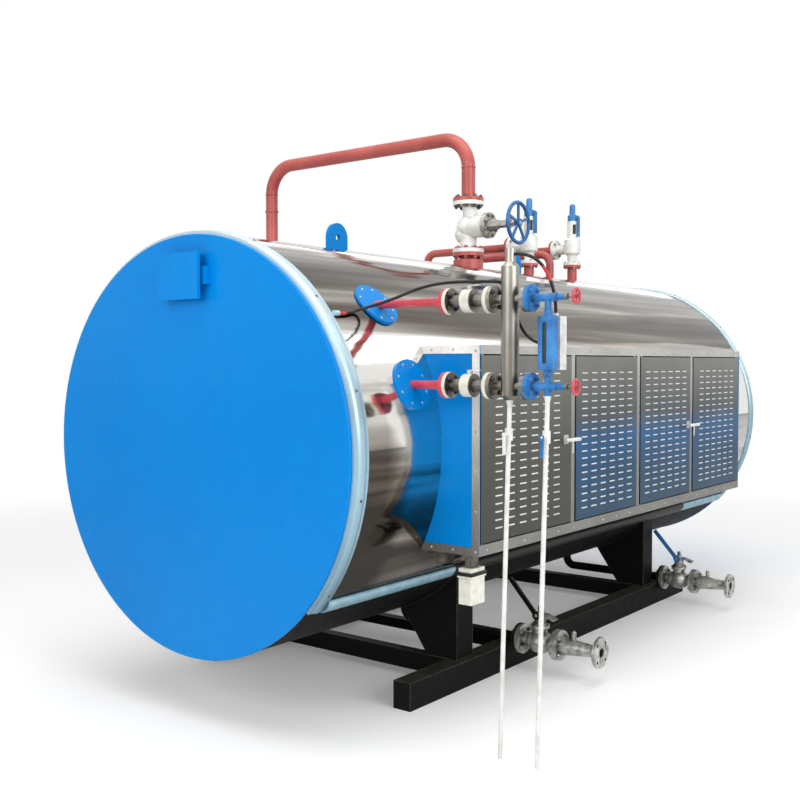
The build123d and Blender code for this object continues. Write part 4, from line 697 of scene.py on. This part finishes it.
boltSets = {
    "steamNozzleBolts": {"finish": redEnamel, "rings": [("steam", upZ, (0, steam["y"], steam["nozzleZ"]))]},
    "steamPipeBolts": {"finish": darkZinc, "rings": [("steam", upZ, (0, steam["y"], steam["pipeZ"]))]},
    "bonnetBolts": {"finish": zincSteel, "rings": [
        ("bonnet", outX, (steam["bonnetX"], steam["y"], steam["bonnetZ"]))]},
    "safetyBolts": {"finish": zincSteel, "rings":
                    [("safetyInlet", upZ, (0, y, z)) for y, z in safety["places"]] +
                    [("safetyOutlet", outX, (safety["outletX"], y, z + safety["outletRise"]))
                     for y, z in safety["places"]]},
    "levelBolts": {"finish": darkZinc, "rings": [
        ("level", outX, (x, level["y"], z)) for x in level["isolatorXs"] for z in level["zs"]]},
    "cockBolts": {"finish": blueCast, "rings": [
        ("level", outX, (level["cockX"], level["y"], z)) for z in level["zs"]]},
    "blowdownBolts": {"finish": zincSteel, "rings":
                      [("blowdown", outX, (x + step, y, blowdown["z"]))
                       for x, y in blowdown["places"] for step in (0.0, blowdown["length"])] +
                      [("blowdownBonnet", upZ, (x + blowdown["bonnetX"], y, blowdown["bonnetZ"]))
                       for x, y in blowdown["places"]]},
}
for name, boltSet in boltSets.items():
    shape = bmesh.new()
    for flangeName, along, place in boltSet["rings"]:
        nutRing(shape, flanges[flangeName], along, place)
    finishPiece(name, shape, "boiler", boltSet["finish"], 30)

# hexagon caps on the blowdown valves' bleed bosses
bleedCap = {"along": 0.324, "height": 0.072, "size": 0.0125}
shape = bmesh.new()
for x, y in blowdown["places"]:
    place = spot(x + bleedCap["along"], y, blowdown["z"] + bleedCap["height"])
    setHead(shape, nutPattern, bleedCap["size"], place, upZ)
finishPiece("bleedCaps", shape, "boiler", zincSteel, 30)
print("flange bolts set")

# head of the rivets and screws, one unit across the radius
rivet = {"height": 0.45, "top": 0.55, "round": 0.2}
shape = bmesh.new()
bmesh.ops.create_cone(shape, cap_ends=True, segments=12, radius1=1.0, radius2=rivet["top"],
                      depth=rivet["height"], matrix=Matrix.Translation((0, 0, rivet["height"] / 2)))
rim = [e for e in shape.edges if all(v.co.z > rivet["height"] / 2 for v in e.verts)]
bmesh.ops.bevel(shape, geom=rim, offset=rivet["round"], segments=2, profile=0.5, affect="EDGES", material=-1)
rivetPattern = keepPattern(shape, "rivetPattern")


def addSection(shape, sides, size, matrix):
    # closed outline of a bead, size giving half its height and half its width
    stretch = Matrix.Diagonal((*size, 1.0, 1.0))
    return bmesh.ops.create_circle(shape, segments=sides, radius=1.0, matrix=matrix @ stretch)["verts"]


def closeEnds(shape):
    bmesh.ops.holes_fill(shape, edges=[e for e in shape.edges if e.is_boundary], sides=0)
    bmesh.ops.recalc_face_normals(shape, faces=shape.faces)


# rounded bead pressed along the middle of both edge trims
edgeBead = {"ys": (0.060, 4.790), "from": -42.0, "to": 222.0, "steps": 88, "lift": 0.004, "sides": 16,
            "size": (0.010, 0.030)}
shape = bmesh.new()
for y in edgeBead["ys"]:
    middle = spot(0, y, 0)
    lean = Matrix.Rotation(radians(-edgeBead["from"]), 4, "Y")
    out = Matrix.Translation((drum["skin"] + edgeBead["lift"], 0, 0))
    section = addSection(shape, edgeBead["sides"], edgeBead["size"], Matrix.Translation(middle) @ lean @ out)
    bmesh.ops.spin(shape, geom=section + edgesOf(section), cent=middle, axis=(0, -1, 0),
                   angle=radians(edgeBead["to"] - edgeBead["from"]), steps=edgeBead["steps"])
closeEnds(shape)
finishPiece("edgeBeads", shape, "boiler", trimSheet, 50)

# the same kind of bead along the side trims
sideBead = {"angle": -40.7, "start": 0.096, "end": 4.754, "lift": 0.004, "sides": 16, "size": (0.019, 0.037)}
shape = bmesh.new()
for angle in (sideBead["angle"], 180 - sideBead["angle"]):
    lean = Matrix.Rotation(radians(-angle), 4, "Y") @ Matrix.Rotation(pi / 2, 4, "X")
    place = onSkin(angle, sideBead["start"], sideBead["lift"])
    section = addSection(shape, sideBead["sides"], sideBead["size"], Matrix.Translation(place) @ lean)
    run = bmesh.ops.extrude_edge_only(shape, edges=edgesOf(section))
    bmesh.ops.translate(shape, vec=(0, sideBead["end"] - sideBead["start"], 0),
                        verts=[v for v in run["geom"] if isinstance(v, bmesh.types.BMVert)])
closeEnds(shape)
finishPiece("sideBeads", shape, "boiler", sideTrimWithShadow, 50)
print("trims beaded")

# a few screws along the edge trims, on the bead's middle line
trimScrews = {"pitch": 26.0, "from": -36.0, "to": 221.0, "lift": 0.0135, "radius": 0.0075}
shape = bmesh.new()
count = int((trimScrews["to"] - trimScrews["from"]) / trimScrews["pitch"])
for y in edgeBead["ys"]:
    for k in range(count + 1):
        angle = trimScrews["from"] + k * trimScrews["pitch"]
        out = (cos(radians(angle)), 0, sin(radians(angle)))
        setHead(shape, rivetPattern, trimScrews["radius"], onSkin(angle, y, trimScrews["lift"]), out)
finishPiece("trimScrews", shape, "boiler", darkZinc)

# plated screws round the rosettes
rosette = {"screws": 8, "circle": 0.096, "lift": 0.0087, "radius": 0.0065, "jacket": 1.010}
shape = bmesh.new()
for z in level["zs"]:
    angle = asin(z / rosette["jacket"])
    out = Vector((cos(angle), 0, sin(angle)))
    up = Vector((-sin(angle), 0, cos(angle)))
    centre = spot(0, level["y"], 0) + out * (drum["skin"] + rosette["lift"])
    for k in range(rosette["screws"]):
        turn = 2 * pi * (k + 0.5) / rosette["screws"]
        place = centre + (up * sin(turn) + Vector((0, cos(turn), 0))) * rosette["circle"]
        setHead(shape, rivetPattern, rosette["radius"], place, out)
finishPiece("rosetteScrews", shape, "boiler", zincSteel)

# rivets round the cabinet's end panels and along its rails
cabinet = {"front": 0.631, "rear": 3.933, "top": 0.479, "bottom": -0.473, "face": 1.218, "strip": 0.038}
cabinetRivet = {"radius": 0.0065, "endCount": 6, "endPitch": 0.1815, "endXs": (0.955, 1.075), "railCount": 20,
                "railPitch": 0.165, "railStart": 0.07, "fromTop": 0.02, "fromBottom": 0.022}
inset = cabinet["strip"] / 2
shape = bmesh.new()
for y, way in ((cabinet["front"], -1), (cabinet["rear"], 1)):
    places = [(cabinet["face"] - inset, cabinet["bottom"] + inset + k * cabinetRivet["endPitch"])
              for k in range(cabinetRivet["endCount"])]
    places += [(x, z) for z in (cabinet["top"] - inset, cabinet["bottom"] + inset)
               for x in cabinetRivet["endXs"]]
    for x, z in places:
        setHead(shape, rivetPattern, cabinetRivet["radius"], spot(x, y, z), (0, way, 0))
for k in range(cabinetRivet["railCount"]):
    y = cabinet["front"] + cabinetRivet["railStart"] + k * cabinetRivet["railPitch"]
    for z in (cabinet["top"] - cabinetRivet["fromTop"], cabinet["bottom"] + cabinetRivet["fromBottom"]):
        setHead(shape, rivetPattern, cabinetRivet["radius"], spot(cabinet["face"], y, z), outX)
finishPiece("cabinetRivets", shape, "boiler", zincSteel)
print("rivets set")

# pressed lips over the doors' air slots: flush at the top, standing proud at the lower edge
louvre = {"length": 0.060, "low": -0.0031, "high": 0.0031, "proud": 0.0034, "flush": 0.0006, "taper": 0.93,
          "round": 0.0009, "columns": 6, "rows": 20, "pitch": 0.108, "rowPitch": 0.0372, "middleZ": -0.007}
# body, start and end of each door
doors = {"cabinet_door_1": ("door_1", 0.648, 1.489), "cabinet_door_2": ("door_2", 1.541, 2.272),
         "cabinet_door_3": ("door_3", 2.324, 3.055), "cabinet_door_4": ("door_4", 3.107, 3.916)}
shape = bmesh.new()
bmesh.ops.create_cube(shape, size=1.0)
bmesh.ops.scale(shape, vec=(louvre["proud"], louvre["length"], louvre["high"] - louvre["low"]),
                verts=shape.verts)
bmesh.ops.translate(shape, vec=(louvre["proud"] / 2, 0, (louvre["high"] + louvre["low"]) / 2),
                    verts=shape.verts)
ridge = [v for v in shape.verts if v.co.x > 0 and v.co.z > 0]
bmesh.ops.translate(shape, vec=(louvre["flush"] - louvre["proud"], 0, 0), verts=ridge)
lip = [v for v in shape.verts if v.co.x > louvre["proud"] / 2]
bmesh.ops.scale(shape, vec=(1, louvre["taper"], 1), verts=lip)
edges = [e for e in shape.edges if any(v in lip for v in e.verts)]
bmesh.ops.bevel(shape, geom=edges, offset=louvre["round"], segments=2, profile=0.5, affect="EDGES",
                material=-1)
louvrePattern = keepPattern(shape, "louvrePattern")
for name, (body, start, end) in doors.items():
    shape = bmesh.new()
    for row in range(louvre["rows"]):
        for column in range(louvre["columns"]):
            y = (start + end) / 2 + (column - (louvre["columns"] - 1) / 2) * louvre["pitch"]
            z = louvre["middleZ"] + (row - (louvre["rows"] - 1) / 2) * louvre["rowPitch"]
            stamp(shape, louvrePattern, Matrix.Translation(spot(cabinet["face"], y, z)))
    finishPiece(name.replace("cabinet_door", "louvreLips"), shape, body, louvreLipHighlight)
print("louvres pressed")


def addBlock(shape, size, matrix, rounding):
    # bevelled block of the size given
    made = bmesh.ops.create_cube(shape, size=1.0, matrix=matrix @ Matrix.Diagonal((*size, 1.0)))
    bmesh.ops.bevel(shape, geom=edgesOf(made["verts"]), offset=rounding, segments=2, profile=0.5,
                    affect="EDGES", material=-1)


# black strap round the junction box
strap = {"height": 0.016, "over": 0.0016, "down": 0.088, "round": 0.0008}
low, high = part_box("junction_box")
shape = bmesh.new()
middle = Vector(((low.x + high.x) / 2, (low.y + high.y) / 2, high.z - strap["down"]))
addBlock(shape, (high.x - low.x + 2 * strap["over"], high.y - low.y + 2 * strap["over"], strap["height"]),
         Matrix.Translation(middle), strap["round"])
finishPiece("boxStrap", shape, "boiler", cableRubber)

# hasp pins hanging under the middle of each door handle's bar
hasp = {"radius": 0.0055, "taper": 0.7, "length": 0.068, "in": 0.010}
for node, body in (("door_handle_front", "door_1"), ("door_handle_rear", "door_3")):
    low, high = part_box(node)
    place = Vector((high.x - hasp["in"], (low.y + high.y) / 2, (low.z + high.z) / 2 - hasp["length"] / 2))
    shape = bmesh.new()
    bmesh.ops.create_cone(shape, cap_ends=True, segments=16, radius1=hasp["radius"] * hasp["taper"],
                          radius2=hasp["radius"], depth=hasp["length"], matrix=Matrix.Translation(place))
    finishPiece(node.replace("door_handle", "haspPin"), shape, body, platedSteel)

# flat plated levers on the isolating valves' stems
stemLever = {"x": 1.280, "rise": 0.0645, "size": (0.064, 0.018, 0.005), "shift": 0.020, "round": 0.002}
shape = bmesh.new()
for z in level["zs"]:
    place = spot(stemLever["x"] + stemLever["shift"], level["y"], z + stemLever["rise"])
    addBlock(shape, stemLever["size"], Matrix.Translation(place), stemLever["round"])
finishPiece("stemLevers", shape, "boiler", platedSteel)

# dark blocks as painted shade for the spring windows in the safety valves' housings
windowShade = {"size": (0.010, 0.024, 0.072), "reach": 0.0342, "rise": 0.268, "turns": (-38, 142), "round": 0.003}
shape = bmesh.new()
for y, z in safety["places"]:
    for turn in windowShade["turns"]:
        matrix = Matrix.Translation(spot(0, y, z + windowShade["rise"])) @ \
            Matrix.Rotation(radians(turn), 4, "Z") @ Matrix.Translation((windowShade["reach"], 0, 0))
        addBlock(shape, windowShade["size"], matrix, windowShade["round"])
finishPiece("springWindowShade", shape, "boiler", cableRubber)
print("small fittings added")

# weld rings on the upright runs of the steam pipe, at its bends and its feet
weld = {"radius": 0.0445, "bead": 0.004, "sides": 8, "steps": 32, "merge": 0.0002,
        "places": [(0, 1.66), (-1.778, 1.66), (0, 1.466), (-1.778, 1.296)]}
shape = bmesh.new()
across = Matrix.Translation((weld["radius"], 0, 0)) @ Matrix.Rotation(pi / 2, 4, "X")
section = addSection(shape, weld["sides"], (weld["bead"], weld["bead"]), across)
bmesh.ops.spin(shape, geom=section + edgesOf(section), cent=(0, 0, 0), axis=(0, 0, 1), angle=2 * pi,
               steps=weld["steps"], use_merge=True)
bmesh.ops.remove_doubles(shape, verts=shape.verts, dist=weld["merge"])
bmesh.ops.recalc_face_normals(shape, faces=shape.faces)
weldPattern = keepPattern(shape, "weldPattern")
shape = bmesh.new()
for x, z in weld["places"]:
    stamp(shape, weldPattern, Matrix.Translation(spot(x, steam["y"], z)))
finishPiece("pipeWelds", shape, "boiler", redEnamel, 60)
print("welds run")
